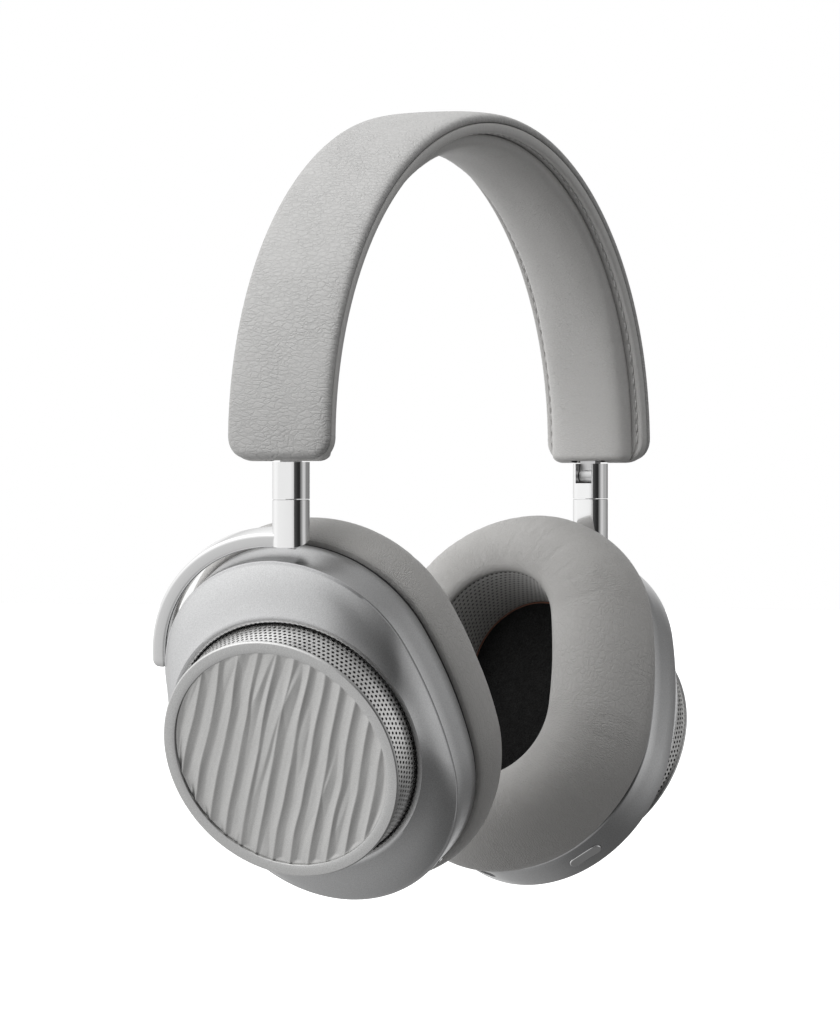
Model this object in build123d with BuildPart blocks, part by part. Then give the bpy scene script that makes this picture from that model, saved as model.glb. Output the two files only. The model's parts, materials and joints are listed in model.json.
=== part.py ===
"""Folding over-ear headphones with a leather band, single-arm yokes and machined aluminium cups.

X runs from the left ear to the right ear, Y from the open side of the cups to the side with the
yoke arms, Z up. The origin is the middle of the head cushion's underside, where the head carries
the band. Every right-hand piece is modelled and its left-hand twin is mirrored in the YZ plane.
"""
from build123d import *
from math import cos, radians, sin, tan
import os

os.makedirs("parts", exist_ok=True)

# ---------------------------------------------------------------- driving dimensions (mm, degrees)
# headband: layers are counted inwards from the outside of the arch
ARCH_RADIUS = 80.7
COVER_THICKNESS = 3.0
BASE_THICKNESS = 2.6
CUSHION_THICKNESS = 4.4
SPRING_THICKNESS = 0.8
BAND_WIDTH = 27.6
BAND_CORNER = 5.5
BAND_TAIL = 3.7
CUSHION_WIDTH = 24.4
CUSHION_TAIL = 2.6

# stem: slider, fold fork and yoke post hang below the band's end on one vertical line
STEM_X = 73.0
TOE_IN = 4.0
STEM_DEPTH = 6.6
STEM_WIDTH = 8.6
STEM_CORNER = 2.6
SEAM_Z = -84.0
POST_END_Z = -95.4
SLIDE_LEAN = 4.0
SLIDE_TRAVEL = 20.0
RAIL_THICKNESS = 1.4
RAIL_WIDTH = 6.4
RAIL_START = 4.4
FOLD_PIN_Z = -78.3
FOLD_PIN_RADIUS = 0.9
KNUCKLE_RADIUS = 1.9
KNUCKLE_WIDTH = 4.4
SWIVEL_PIN_RADIUS = 1.3

# cup: an oval base with a straight side wall, a cone that rises to a round lip, and a round cap
CUP_TILT = 23.0
CUP_ROLL = 12.8
CUP_REACH = -13.7
CUP_SIDE_SHIFT = 1.8
CUP_Z = -139.2
OVAL_HALF_WIDTH = 34.8
OVAL_HALF_HEIGHT = 44.3
OVAL_END_RADIUS = 34.0
SIDE_DEPTH = 10.8
SHELL_WALL = 1.6
CONE_RISE = 6.4
LIP_RADIUS = 33.1
LIP_INNER_RADIUS = 31.0
GRILLE_RADIUS = 29.4
GRILLE_TOP_RADIUS = 29.8
GRILLE_FOOT_RADIUS = 30.8
GRILLE_WALL = 0.8
BEZEL_RADIUS = 30.4
BEZEL_FRONT = 15.4
BEZEL_HEIGHT = 1.6
INSERT_RADIUS = 27.4
CAP_SHIFT = 1.0
PIVOT_UP = 18.0

# yoke arm that follows the side wall from the post to the pivot, on a slightly taller oval
ARM_RISE = 0.9
ARM_GAP = 1.3
ARM_THICKNESS = 3.6
ARM_DEPTH = 5.4
PIVOT_PIN_RADIUS = 1.4
RUNNING_GAP = 0.05

# driver and ear pad
DRIVER_RADIUS = 20.0
PAD_DEPTH = 20.3
PAD_BULGE = 2.0
PAD_OPENING_HALF_WIDTH = 17.5
PAD_OPENING_HALF_HEIGHT = 27.5
LINING_THICKNESS = 0.8

# button and socket in the side wall
BUTTON_LENGTH = 9.0
BUTTON_WIDTH = 3.4
BUTTON_ANGLE = -112.5
SOCKET_ANGLE = -60.0

# ---------------------------------------------------------------- places worked out from them
BASE_RADIUS = ARCH_RADIUS - COVER_THICKNESS
CUSHION_RADIUS = BASE_RADIUS - BASE_THICKNESS
HEAD_RADIUS = CUSHION_RADIUS - CUSHION_THICKNESS
ARCH_CENTRE_Z = -HEAD_RADIUS
RAIL_LENGTH = RAIL_START + SLIDE_TRAVEL

toe = radians(TOE_IN)
tilt = radians(CUP_TILT)
outward = Vector(cos(toe), -sin(toe), 0)
across = Vector(sin(toe), cos(toe), 0)
cup_normal = Vector(cos(tilt) * cos(toe), -cos(tilt) * sin(toe), -sin(tilt))

stem_frame = Plane(origin=(STEM_X, 0, 0), x_dir=outward, z_dir=(0, 0, 1))
stem_side = Plane(origin=(STEM_X, 0, 0), x_dir=outward, z_dir=-across)
cup_centre = Vector(STEM_X, 0, CUP_Z) + outward * CUP_REACH + across * CUP_SIDE_SHIFT
yoke_frame = Plane(origin=cup_centre, x_dir=across, z_dir=cup_normal)
roll = radians(CUP_ROLL)
rolled_across = across * cos(roll) - yoke_frame.y_dir * sin(roll)
cup_frame = Plane(origin=cup_centre, x_dir=rolled_across, z_dir=cup_normal)
cap_frame = Plane(origin=cup_centre + rolled_across * CAP_SHIFT, x_dir=rolled_across, z_dir=cup_normal)
arch_frame = Plane(origin=(0, 0, ARCH_CENTRE_Z), x_dir=(1, 0, 0), z_dir=(0, -1, 0))
slide_lean = radians(SLIDE_LEAN)
rail_frame = Plane(
    origin=stem_side.from_local_coords((0, FOLD_PIN_Z, 0)),
    x_dir=outward * cos(slide_lean) + Vector(0, 0, sin(slide_lean)),
    z_dir=-across,
)


def save(name, piece):
    """Label a finished piece and write it as one STEP file."""
    piece.label = name
    export_step(piece, f"parts/{name}.step")


def save_pair(name, piece):
    """Write a right-hand piece and its mirrored left-hand twin."""
    save(f"right_{name}", piece)
    with BuildPart() as twin:
        mirror(piece, about=Plane.YZ, mode=Mode.ADD)
    save(f"left_{name}", twin.part)


def oval(grow=0.0, half_width=OVAL_HALF_WIDTH, half_height=OVAL_HALF_HEIGHT, end_radius=OVAL_END_RADIUS):
    """Face of a four-arc oval, taller than wide, grown or shrunk by a parallel distance."""
    a = half_width + grow
    b = half_height + grow
    r = end_radius + grow
    c = b - r
    side = (a**2 + c**2 - r**2) / (2 * (a - r))
    tx = -(side - a) + side * (side - a) / (side - r)
    ty = side * c / (side - r)
    with BuildLine() as outline:
        ThreePointArc((tx, -ty), (a, 0), (tx, ty))
        ThreePointArc((tx, ty), (0, b), (-tx, ty))
        ThreePointArc((-tx, ty), (-a, 0), (-tx, -ty))
        ThreePointArc((-tx, -ty), (0, -b), (tx, -ty))
    make_face(outline.edges())


def pad_opening(grow=0.0):
    """Face of the tall opening in the ear pad, grown or shrunk by a parallel distance."""
    end_radius = PAD_OPENING_HALF_WIDTH * 0.97
    oval(grow, PAD_OPENING_HALF_WIDTH, PAD_OPENING_HALF_HEIGHT, end_radius)


def arch_band(outer_radius, inner_radius, tail):
    """Face of half a ring with a straight tail at both ends, drawn in the arch's plane."""
    with BuildLine() as outline:
        CenterArc((0, 0), outer_radius, 0, 180)
        Line((-outer_radius, 0), (-outer_radius, -tail))
        Line((-outer_radius, -tail), (-inner_radius, -tail))
        Line((-inner_radius, -tail), (-inner_radius, 0))
        CenterArc((0, 0), inner_radius, 0, 180)
        Line((inner_radius, 0), (inner_radius, -tail))
        Line((inner_radius, -tail), (outer_radius, -tail))
        Line((outer_radius, -tail), (outer_radius, 0))
    make_face(outline.edges())


def rim_plane(angle, depth):
    """Plane on the side wall's surface, at an angle from the width axis, with z pointing outwards."""
    end_centre = OVAL_HALF_HEIGHT - OVAL_END_RADIUS
    x = OVAL_END_RADIUS * cos(radians(angle))
    y = -end_centre + OVAL_END_RADIUS * sin(radians(angle))
    origin = cup_frame.from_local_coords((x, y, -depth))
    normal = cup_frame.x_dir * cos(radians(angle)) + cup_frame.y_dir * sin(radians(angle))
    along = cup_frame.y_dir * cos(radians(angle)) - cup_frame.x_dir * sin(radians(angle))
    return Plane(origin=origin, x_dir=along, z_dir=normal)


# ---------------------------------------------------------------- headband
END_BLOCK_DEPTH = 4.2
END_BLOCK_WIDTH = 14.0
END_BLOCK_SHIFT = 0.8
END_BLOCK_TOP = 30.0
END_BLOCK_BOTTOM = 5.0
POCKET_GAP = 0.05
RAIL_SLOT_GAP = 0.06
SPRING_MARGIN = 5.0
SPRING_TAIL = 1.0
BASE_TAIL_EXTRA = 0.4
END_SCREW_RADIUS = 1.0
END_SCREW_RISE = 27.2
END_SCREW_SIDE = 5.1
END_SCREW_LENGTH = 3.4
END_SCREW_HOLE_EXTRA = 0.1
CABLE_WIDTH = 5.0
CABLE_THICKNESS = 0.5
CHANNEL_START_ANGLE = 32.0
CABLE_START_ANGLE = 33.0
COVER_EDGE_RADIUS = 2.7
CUSHION_EDGE_RADIUS = 2.2
CUSHION_CORNER = 2.5


def end_block_space(grow, mode):
    """Box along the rail that the end block fills inside the end of the band."""
    with BuildSketch(rail_frame) as outline:
        with Locations((END_BLOCK_SHIFT, (END_BLOCK_TOP + END_BLOCK_BOTTOM) / 2)):
            Rectangle(END_BLOCK_DEPTH + 2 * grow, END_BLOCK_TOP - END_BLOCK_BOTTOM + 2 * grow)
    extrude(outline.sketch, amount=END_BLOCK_WIDTH / 2 + grow, both=True, mode=mode)


with BuildPart() as right_pocket:
    end_block_space(POCKET_GAP, Mode.ADD)
left_pocket = mirror(right_pocket.part, about=Plane.YZ)

with BuildPart() as cable_channel:
    with BuildSketch(arch_frame) as outline:
        with BuildLine():
            CenterArc((0, 0), CUSHION_RADIUS + CABLE_THICKNESS / 2, CHANNEL_START_ANGLE,
                      180 - 2 * CHANNEL_START_ANGLE)
            offset(amount=CABLE_THICKNESS / 2 + POCKET_GAP)
        make_face()
    extrude(amount=CABLE_WIDTH / 2 + POCKET_GAP, both=True)

with BuildPart() as band_cover:
    with BuildSketch(arch_frame):
        arch_band(ARCH_RADIUS, BASE_RADIUS, BAND_TAIL)
    extrude(amount=BAND_WIDTH / 2, both=True)
    with BuildSketch(arch_frame):
        arch_band(BASE_RADIUS + SPRING_THICKNESS, BASE_RADIUS, SPRING_TAIL)
    extrude(amount=BAND_WIDTH / 2 - SPRING_MARGIN, both=True, mode=Mode.SUBTRACT)
    fillet(band_cover.edges().filter_by(Axis.X).group_by(Axis.Z)[0], BAND_CORNER)
    fillet(band_cover.faces().filter_by(GeomType.CYLINDER).sort_by(SortBy.AREA)[-1].edges(),
           COVER_EDGE_RADIUS)
save("band_cover", band_cover.part)

with BuildPart() as band_spring:
    with BuildSketch(arch_frame):
        arch_band(BASE_RADIUS + SPRING_THICKNESS - POCKET_GAP, BASE_RADIUS, SPRING_TAIL - POCKET_GAP)
    extrude(amount=BAND_WIDTH / 2 - SPRING_MARGIN - POCKET_GAP, both=True)
save("band_spring", band_spring.part)

with BuildPart() as band_base:
    with BuildSketch(arch_frame):
        arch_band(BASE_RADIUS, CUSHION_RADIUS, BAND_TAIL + BASE_TAIL_EXTRA)
    extrude(amount=BAND_WIDTH / 2, both=True)
    fillet(band_base.edges().filter_by(Axis.X).group_by(Axis.Z)[0], BAND_CORNER)
    add(right_pocket.part, mode=Mode.SUBTRACT)
    add(left_pocket, mode=Mode.SUBTRACT)
    add(cable_channel.part, mode=Mode.SUBTRACT)
save("band_base", band_base.part)

with BuildPart() as band_cushion:
    with BuildSketch(arch_frame):
        arch_band(CUSHION_RADIUS, HEAD_RADIUS, CUSHION_TAIL)
    extrude(amount=CUSHION_WIDTH / 2, both=True)
    fillet(band_cushion.edges().filter_by(Axis.X).group_by(Axis.Z)[0], CUSHION_CORNER)
    fillet(band_cushion.faces().filter_by(GeomType.CYLINDER).sort_by(SortBy.AREA)[-2].edges(),
           CUSHION_EDGE_RADIUS)
    add(right_pocket.part, mode=Mode.SUBTRACT)
    add(left_pocket, mode=Mode.SUBTRACT)
save("band_cushion", band_cushion.part)

with BuildPart() as band_cable:
    with BuildSketch(arch_frame):
        with BuildLine():
            CenterArc((0, 0), CUSHION_RADIUS + CABLE_THICKNESS / 2 + POCKET_GAP,
                      CABLE_START_ANGLE, 180 - 2 * CABLE_START_ANGLE)
            offset(amount=CABLE_THICKNESS / 2 - POCKET_GAP)
        make_face()
    extrude(amount=CABLE_WIDTH / 2 - POCKET_GAP, both=True)
save("band_cable", band_cable.part)

with BuildPart() as end_block:
    end_block_space(0.0, Mode.ADD)
    with BuildSketch(rail_frame):
        with Locations((0, (END_BLOCK_TOP + END_BLOCK_BOTTOM) / 2 - 1)):
            Rectangle(RAIL_THICKNESS + 2 * RAIL_SLOT_GAP, END_BLOCK_TOP - END_BLOCK_BOTTOM)
    extrude(amount=RAIL_WIDTH / 2 + RAIL_SLOT_GAP, both=True, mode=Mode.SUBTRACT)
    with BuildSketch(Plane(rail_frame.origin + rail_frame.x_dir * (END_BLOCK_SHIFT + END_BLOCK_DEPTH / 2),
                           x_dir=-rail_frame.z_dir, z_dir=rail_frame.x_dir)) as screw_places:
        with Locations((END_SCREW_SIDE, END_SCREW_RISE), (-END_SCREW_SIDE, END_SCREW_RISE)):
            Circle(END_SCREW_RADIUS)
    extrude(amount=-END_SCREW_LENGTH - END_SCREW_HOLE_EXTRA, mode=Mode.SUBTRACT)
save_pair("band_end_block", end_block.part)

with BuildPart() as end_screws:
    extrude(screw_places.sketch, amount=-END_SCREW_LENGTH)
save_pair("band_end_screws", end_screws.part)

# ---------------------------------------------------------------- slider and fold hinge
KNUCKLE_NECK = 2.6
NECK_HEIGHT = 4.8
FOLD_PIN_INSET = 0.5
SWIVEL_PIN_HOLD = 2.0
SWIVEL_PIN_LENGTH = 6.0
FORK_CAVITY_GAP = 0.15
FORK_TOP_Z = -75.3
pin_axis = Plane(origin=stem_side.from_local_coords((0, FOLD_PIN_Z, 0)),
                 x_dir=outward, z_dir=-across)

with BuildPart() as slider:
    with BuildSketch(pin_axis):
        Circle(KNUCKLE_RADIUS)
        with Locations((0, NECK_HEIGHT / 2)):
            Rectangle(KNUCKLE_NECK, NECK_HEIGHT)
    extrude(amount=KNUCKLE_WIDTH / 2, both=True)
    with BuildSketch(rail_frame):
        with Locations((0, RAIL_START + RAIL_LENGTH / 2)):
            Rectangle(RAIL_THICKNESS, RAIL_LENGTH)
    extrude(amount=RAIL_WIDTH / 2, both=True)
    with BuildSketch(pin_axis):
        Circle(FOLD_PIN_RADIUS)
    extrude(amount=KNUCKLE_WIDTH, both=True, mode=Mode.SUBTRACT)
save_pair("slider", slider.part)

with BuildPart() as fold_pin:
    with BuildSketch(pin_axis):
        Circle(FOLD_PIN_RADIUS - RUNNING_GAP)
    extrude(amount=STEM_WIDTH / 2 - FOLD_PIN_INSET, both=True)
save_pair("fold_pin", fold_pin.part)


def stem_section():
    """Face of the stem's rounded rectangular section, in the stem frame's own directions."""
    RectangleRounded(STEM_DEPTH, STEM_WIDTH, STEM_CORNER)


with BuildPart() as fork:
    with BuildSketch(stem_frame.offset(SEAM_Z)):
        stem_section()
    extrude(amount=FORK_TOP_Z - SEAM_Z)
    with BuildSketch(pin_axis):
        Circle(KNUCKLE_RADIUS + FORK_CAVITY_GAP)
        with Locations((-STEM_DEPTH / 2, (STEM_DEPTH - KNUCKLE_RADIUS) / 2)):
            Rectangle(STEM_DEPTH, STEM_DEPTH + KNUCKLE_RADIUS)
        with Locations((0, STEM_DEPTH / 2)):
            Rectangle(2 * KNUCKLE_RADIUS + 2 * FORK_CAVITY_GAP, STEM_DEPTH)
    extrude(amount=KNUCKLE_WIDTH / 2 + FORK_CAVITY_GAP, both=True, mode=Mode.SUBTRACT)
    with BuildSketch(pin_axis):
        Circle(FOLD_PIN_RADIUS - RUNNING_GAP)
    extrude(amount=STEM_WIDTH / 2 - FOLD_PIN_INSET, both=True, mode=Mode.SUBTRACT)
    with BuildSketch(stem_frame.offset(SEAM_Z)):
        Circle(SWIVEL_PIN_RADIUS)
    extrude(amount=SWIVEL_PIN_HOLD, mode=Mode.SUBTRACT)
save_pair("fold_fork", fork.part)

with BuildPart() as swivel_pin:
    with BuildSketch(stem_frame.offset(SEAM_Z + SWIVEL_PIN_HOLD)):
        Circle(SWIVEL_PIN_RADIUS)
    extrude(amount=-(SWIVEL_PIN_HOLD + SWIVEL_PIN_LENGTH))
save_pair("swivel_pin", swivel_pin.part)

# ---------------------------------------------------------------- yoke
SEAM_GAP = 0.12
POST_WALL = 1.0
POST_POCKET_TOP_Z = -91.6
POST_SLANT_RISE = 1.2
ARM_START_X = -2.4
ARM_END_RADIUS = 1.7
PIVOT_HOLE_END = 4.4
PIVOT_START = 30.6
PIN_END_GAP = 0.3
QUARTER_SIZE = 80.0
arm_back = -SIDE_DEPTH / 2 - ARM_DEPTH / 2
pivot_axis = Plane(origin=yoke_frame.from_local_coords((0, PIVOT_UP, -SIDE_DEPTH / 2)),
                   x_dir=yoke_frame.y_dir, z_dir=across)


def arm_oval(grow):
    """Face of the arm's own oval, a little narrower and taller than the cup's."""
    oval(grow, OVAL_HALF_WIDTH - ARM_RISE, OVAL_HALF_HEIGHT + ARM_RISE, OVAL_END_RADIUS - ARM_RISE)


with BuildPart() as yoke:
    with BuildSketch(stem_frame.offset(POST_END_Z)):
        stem_section()
    extrude(amount=SEAM_Z - SEAM_GAP - POST_END_Z)
    with BuildSketch(stem_frame.offset(POST_END_Z)):
        RectangleRounded(STEM_DEPTH - 2 * POST_WALL, STEM_WIDTH - 2 * POST_WALL, STEM_CORNER / 2)
    extrude(amount=POST_POCKET_TOP_Z - POST_END_Z, mode=Mode.SUBTRACT)
    with BuildSketch(stem_side):
        with BuildLine():
            Polyline((-STEM_DEPTH, POST_END_Z - STEM_DEPTH), (STEM_DEPTH, POST_END_Z - STEM_DEPTH),
                     (STEM_DEPTH, POST_END_Z + POST_SLANT_RISE - STEM_DEPTH * tan(tilt)),
                     (-STEM_DEPTH, POST_END_Z + POST_SLANT_RISE + STEM_DEPTH * tan(tilt)), close=True)
        make_face()
    extrude(amount=STEM_WIDTH, both=True, mode=Mode.SUBTRACT)
    with BuildSketch(cup_frame.offset(arm_back)):
        arm_oval(ARM_GAP + ARM_THICKNESS)
        with BuildSketch(mode=Mode.PRIVATE) as inside:
            arm_oval(ARM_GAP)
        add(inside.sketch, mode=Mode.SUBTRACT)
        with BuildSketch(mode=Mode.PRIVATE) as quarter:
            with Locations(Rotation(0, 0, CUP_ROLL)):
                with Locations((ARM_START_X, PIVOT_UP - ARM_DEPTH / 2)):
                    Rectangle(QUARTER_SIZE, QUARTER_SIZE, align=(Align.MIN, Align.MIN))
        add(quarter.sketch, mode=Mode.INTERSECT)
    extrude(amount=ARM_DEPTH)
    tip = yoke.faces().sort_by(lambda face: face.center().dot(yoke_frame.y_dir))[0]
    fillet(tip.edges().filter_by(lambda edge: abs(edge.tangent_at(0.5).dot(across)) > 0.7), ARM_END_RADIUS)
    with BuildSketch(stem_frame.offset(SEAM_Z)):
        Circle(SWIVEL_PIN_RADIUS + RUNNING_GAP)
    extrude(amount=-(SWIVEL_PIN_LENGTH + PIN_END_GAP), mode=Mode.SUBTRACT)
    with BuildSketch(pivot_axis):
        Circle(PIVOT_PIN_RADIUS)
    extrude(amount=OVAL_HALF_WIDTH + PIVOT_HOLE_END + 0.1, mode=Mode.SUBTRACT)
save_pair("yoke", yoke.part)

with BuildPart() as pivot_pin:
    with BuildSketch(pivot_axis.offset(PIVOT_START)):
        Circle(PIVOT_PIN_RADIUS)
    extrude(amount=OVAL_HALF_WIDTH + PIVOT_HOLE_END - PIVOT_START)
save_pair("pivot_pin", pivot_pin.part)

# ---------------------------------------------------------------- cup shell
BAFFLE_THICKNESS = 2.2
BAFFLE_GAP = 0.05
BOSS_RADIUS = 2.6
BOSS_X = 22.0
BOSS_Y = 31.5
SCREW_RADIUS = 0.9
SCREW_HEAD_RADIUS = 1.7
BUSH_RADIUS = 2.6
BUTTON_TRAVEL = 0.8
BUTTON_GAP = 0.1
BUTTON_ROOT = 0.4
BUTTON_PROUD = 0.15
BUTTON_EDGE_RADIUS = 0.3
SWITCH_LENGTH = 5.0
SWITCH_WIDTH = 3.0
SWITCH_HEIGHT = 1.6
SOCKET_LENGTH = 9.0
SOCKET_WIDTH = 3.3
SOCKET_INSET = 0.5
SOCKET_DEPTH = 6.0
SOCKET_FIT = 0.1
SOCKET_HOLLOW = 0.8
TONGUE_SHORTER = 2.6
TONGUE_THICKNESS = 0.7
TONGUE_LENGTH = 4.8
BUSH_START_GAP = 0.2
BUSH_END_INSET = 0.4

button_plane = rim_plane(BUTTON_ANGLE, SIDE_DEPTH / 2)
socket_plane = rim_plane(SOCKET_ANGLE, SIDE_DEPTH / 2)

with BuildPart() as shell:
    with BuildSketch(cup_frame.offset(-SIDE_DEPTH)):
        oval()
    extrude(amount=SIDE_DEPTH)
    with BuildSketch(cup_frame):
        oval()
    with BuildSketch(cap_frame.offset(CONE_RISE)):
        Circle(LIP_RADIUS)
    loft()
    with BuildSketch(cup_frame.offset(-SIDE_DEPTH)):
        oval(-SHELL_WALL)
    extrude(amount=SIDE_DEPTH, mode=Mode.SUBTRACT)
    with BuildSketch(cup_frame):
        oval(-SHELL_WALL)
    with BuildSketch(cap_frame.offset(CONE_RISE - SHELL_WALL)):
        Circle(LIP_RADIUS - SHELL_WALL)
    loft(mode=Mode.SUBTRACT)
    with BuildSketch(cap_frame.offset(CONE_RISE)):
        Circle(LIP_INNER_RADIUS)
    extrude(amount=-2 * SHELL_WALL, mode=Mode.SUBTRACT)
    with BuildSketch(cup_frame.offset(BAFFLE_THICKNESS - SIDE_DEPTH)):
        with BuildSketch(mode=Mode.PRIVATE) as boss_circles:
            with GridLocations(2 * BOSS_X, 2 * BOSS_Y, 2, 2):
                Circle(BOSS_RADIUS)
        add(boss_circles.sketch)
        with BuildSketch(mode=Mode.PRIVATE) as inside:
            oval(-SHELL_WALL / 2)
        add(inside.sketch, mode=Mode.INTERSECT)
        with GridLocations(2 * BOSS_X, 2 * BOSS_Y, 2, 2):
            Circle(SCREW_RADIUS, mode=Mode.SUBTRACT)
    extrude(amount=SIDE_DEPTH - BAFFLE_THICKNESS)
    with BuildSketch(pivot_axis):
        Circle(BUSH_RADIUS)
    extrude(amount=OVAL_HALF_WIDTH + 2, mode=Mode.SUBTRACT)
    with BuildSketch(button_plane):
        SlotOverall(BUTTON_LENGTH + 2 * BUTTON_GAP, BUTTON_WIDTH + 2 * BUTTON_GAP)
    extrude(amount=3 * SHELL_WALL, both=True, mode=Mode.SUBTRACT)
right_shell = shell.part

with BuildPart() as left_shell_twin:
    mirror(right_shell, about=Plane.YZ, mode=Mode.ADD)
save("left_cup_shell", left_shell_twin.part)

with BuildPart() as right_shell_ported:
    add(right_shell)
    with BuildSketch(socket_plane):
        SlotOverall(SOCKET_LENGTH, SOCKET_WIDTH)
    extrude(amount=3 * SHELL_WALL, both=True, mode=Mode.SUBTRACT)
save("right_cup_shell", right_shell_ported.part)

with BuildPart() as usb_socket:
    with BuildSketch(socket_plane.offset(-SOCKET_INSET)):
        SlotOverall(SOCKET_LENGTH - SOCKET_FIT, SOCKET_WIDTH - SOCKET_FIT)
        SlotOverall(SOCKET_LENGTH - SOCKET_HOLLOW, SOCKET_WIDTH - SOCKET_HOLLOW, mode=Mode.SUBTRACT)
    extrude(amount=-SOCKET_DEPTH)
    with BuildSketch(socket_plane.offset(-SOCKET_INSET - SOCKET_DEPTH)):
        SlotOverall(SOCKET_LENGTH - SOCKET_FIT, SOCKET_WIDTH - SOCKET_FIT)
    extrude(amount=SOCKET_INSET)
    with BuildSketch(socket_plane.offset(-SOCKET_INSET - SOCKET_DEPTH)):
        Rectangle(SOCKET_LENGTH - TONGUE_SHORTER, TONGUE_THICKNESS)
    extrude(amount=TONGUE_LENGTH)
save("usb_socket", usb_socket.part)

with BuildPart() as pivot_bush:
    with BuildSketch(pivot_axis.offset(PIVOT_START - BUSH_START_GAP)):
        Circle(BUSH_RADIUS)
        Circle(PIVOT_PIN_RADIUS + RUNNING_GAP, mode=Mode.SUBTRACT)
    extrude(amount=OVAL_HALF_WIDTH - BUSH_END_INSET - PIVOT_START)
save_pair("pivot_bush", pivot_bush.part)

with BuildPart() as button:
    with BuildSketch(button_plane.offset(-SHELL_WALL - BUTTON_ROOT)):
        SlotOverall(BUTTON_LENGTH, BUTTON_WIDTH)
    extrude(amount=SHELL_WALL + BUTTON_ROOT + BUTTON_PROUD)
    fillet(button.faces().sort_by(lambda face: face.center().dot(button_plane.z_dir))[-1].edges(),
           BUTTON_EDGE_RADIUS)
save_pair("cup_button", button.part)

with BuildPart() as button_switch:
    with BuildSketch(button_plane.offset(-SHELL_WALL - BUTTON_ROOT - BUTTON_TRAVEL - BUTTON_GAP)):
        Rectangle(SWITCH_LENGTH, SWITCH_WIDTH)
    extrude(amount=-SWITCH_HEIGHT)
save_pair("button_switch", button_switch.part)

# ---------------------------------------------------------------- round cap
CARRIER_FRONT = 4.4
CARRIER_THICKNESS = 1.4
CARRIER_FLANGE_RADIUS = 31.2
SPIGOT_WALL = 1.0
SPIGOT_HEIGHT = 3.0
FLOOR_THICKNESS = 0.5
INSERT_THICKNESS = 0.6
INSERT_FIT = 0.05
BEZEL_CHAMFER = 0.3
CARRIER_SPIGOT_WALL = 1.2
CARRIER_SPIGOT_HEIGHT = 3.0
WIRE_HOLE_COUNT = 6
WIRE_HOLE_RADIUS = 4.0
WIRE_HOLE_CIRCLE = 18.0
SENSOR_THICKNESS = 0.4
SENSOR_GAP = 0.1
SENSOR_MARGIN = 0.8
bezel_back = BEZEL_FRONT - BEZEL_HEIGHT

with BuildPart() as cap_carrier:
    with BuildSketch(cap_frame.offset(CARRIER_FRONT - CARRIER_THICKNESS)):
        Circle(CARRIER_FLANGE_RADIUS)
    extrude(amount=CARRIER_THICKNESS)
    with BuildSketch(cap_frame.offset(CARRIER_FRONT)):
        Circle(GRILLE_RADIUS - GRILLE_WALL)
        Circle(GRILLE_RADIUS - GRILLE_WALL - CARRIER_SPIGOT_WALL, mode=Mode.SUBTRACT)
    extrude(amount=CARRIER_SPIGOT_HEIGHT)
    with BuildSketch(cap_frame.offset(CARRIER_FRONT)):
        with PolarLocations(WIRE_HOLE_CIRCLE, WIRE_HOLE_COUNT):
            Circle(WIRE_HOLE_RADIUS)
    extrude(amount=-CARRIER_THICKNESS, mode=Mode.SUBTRACT)
save_pair("cap_carrier", cap_carrier.part)

with BuildPart() as grille_ring:
    with BuildSketch(cap_frame.offset(CARRIER_FRONT)):
        Circle(GRILLE_FOOT_RADIUS)
    with BuildSketch(cap_frame.offset(bezel_back)):
        Circle(GRILLE_TOP_RADIUS)
    loft()
    with BuildSketch(cap_frame.offset(CARRIER_FRONT)):
        Circle(GRILLE_RADIUS - GRILLE_WALL)
    extrude(amount=bezel_back - CARRIER_FRONT, mode=Mode.SUBTRACT)
save_pair("grille_ring", grille_ring.part)

with BuildPart() as cap_bezel:
    with BuildSketch(cap_frame.offset(bezel_back)):
        Circle(BEZEL_RADIUS)
    extrude(amount=BEZEL_HEIGHT)
    chamfer(cap_bezel.faces().sort_by(lambda face: face.center().dot(cup_normal))[-1].edges(), BEZEL_CHAMFER)
    with BuildSketch(cap_frame.offset(BEZEL_FRONT)):
        Circle(INSERT_RADIUS)
    extrude(amount=-(BEZEL_HEIGHT - FLOOR_THICKNESS), mode=Mode.SUBTRACT)
    with BuildSketch(cap_frame.offset(bezel_back)):
        Circle(GRILLE_RADIUS - GRILLE_WALL)
        Circle(GRILLE_RADIUS - GRILLE_WALL - SPIGOT_WALL, mode=Mode.SUBTRACT)
    extrude(amount=-SPIGOT_HEIGHT)
save_pair("cap_bezel", cap_bezel.part)

with BuildPart() as cap_insert:
    with BuildSketch(cap_frame.offset(bezel_back + FLOOR_THICKNESS)):
        Circle(INSERT_RADIUS - INSERT_FIT)
    extrude(amount=INSERT_THICKNESS)
save_pair("cap_insert", cap_insert.part)

with BuildPart() as touch_sensor:
    with BuildSketch(cap_frame.offset(bezel_back - SENSOR_GAP)):
        Circle(GRILLE_RADIUS - GRILLE_WALL - SPIGOT_WALL - SENSOR_MARGIN)
    extrude(amount=-SENSOR_THICKNESS)
save_pair("touch_sensor", touch_sensor.part)

# ---------------------------------------------------------------- baffle, driver and electronics
BAFFLE_BACK = -SIDE_DEPTH
DRIVER_FLANGE = 1.6
BASKET_DEPTH = 6.0
FLANGE_THICKNESS = 1.0
BASKET_INSET = 0.6
BASKET_TAPER = 20
BASKET_HOLLOW_INSET = 1.8
BASKET_HOLLOW_TAPER = 18
BASKET_FLOOR = 1.2
MAGNET_RADIUS = 9.0
MAGNET_START = 1.6
CONE_THICKNESS = 0.6
CONE_GAP = 0.1
DOME_INSET = 4.0
SCREW_GAP = 0.1
SCREW_HEAD_HEIGHT = 1.0
SCREW_LENGTH = 7.0
BOARD_RADIUS = 26.0
BOARD_THICKNESS = 1.0
BOARD_HOLE_RADIUS = 1.1
BOARD_HOLE_CIRCLE = 22.0
CHIP_PLACES = ((-12, 8), (11, -9), (-8, -12))
CHIP_LENGTH = 7.0
CHIP_WIDTH = 6.0
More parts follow.
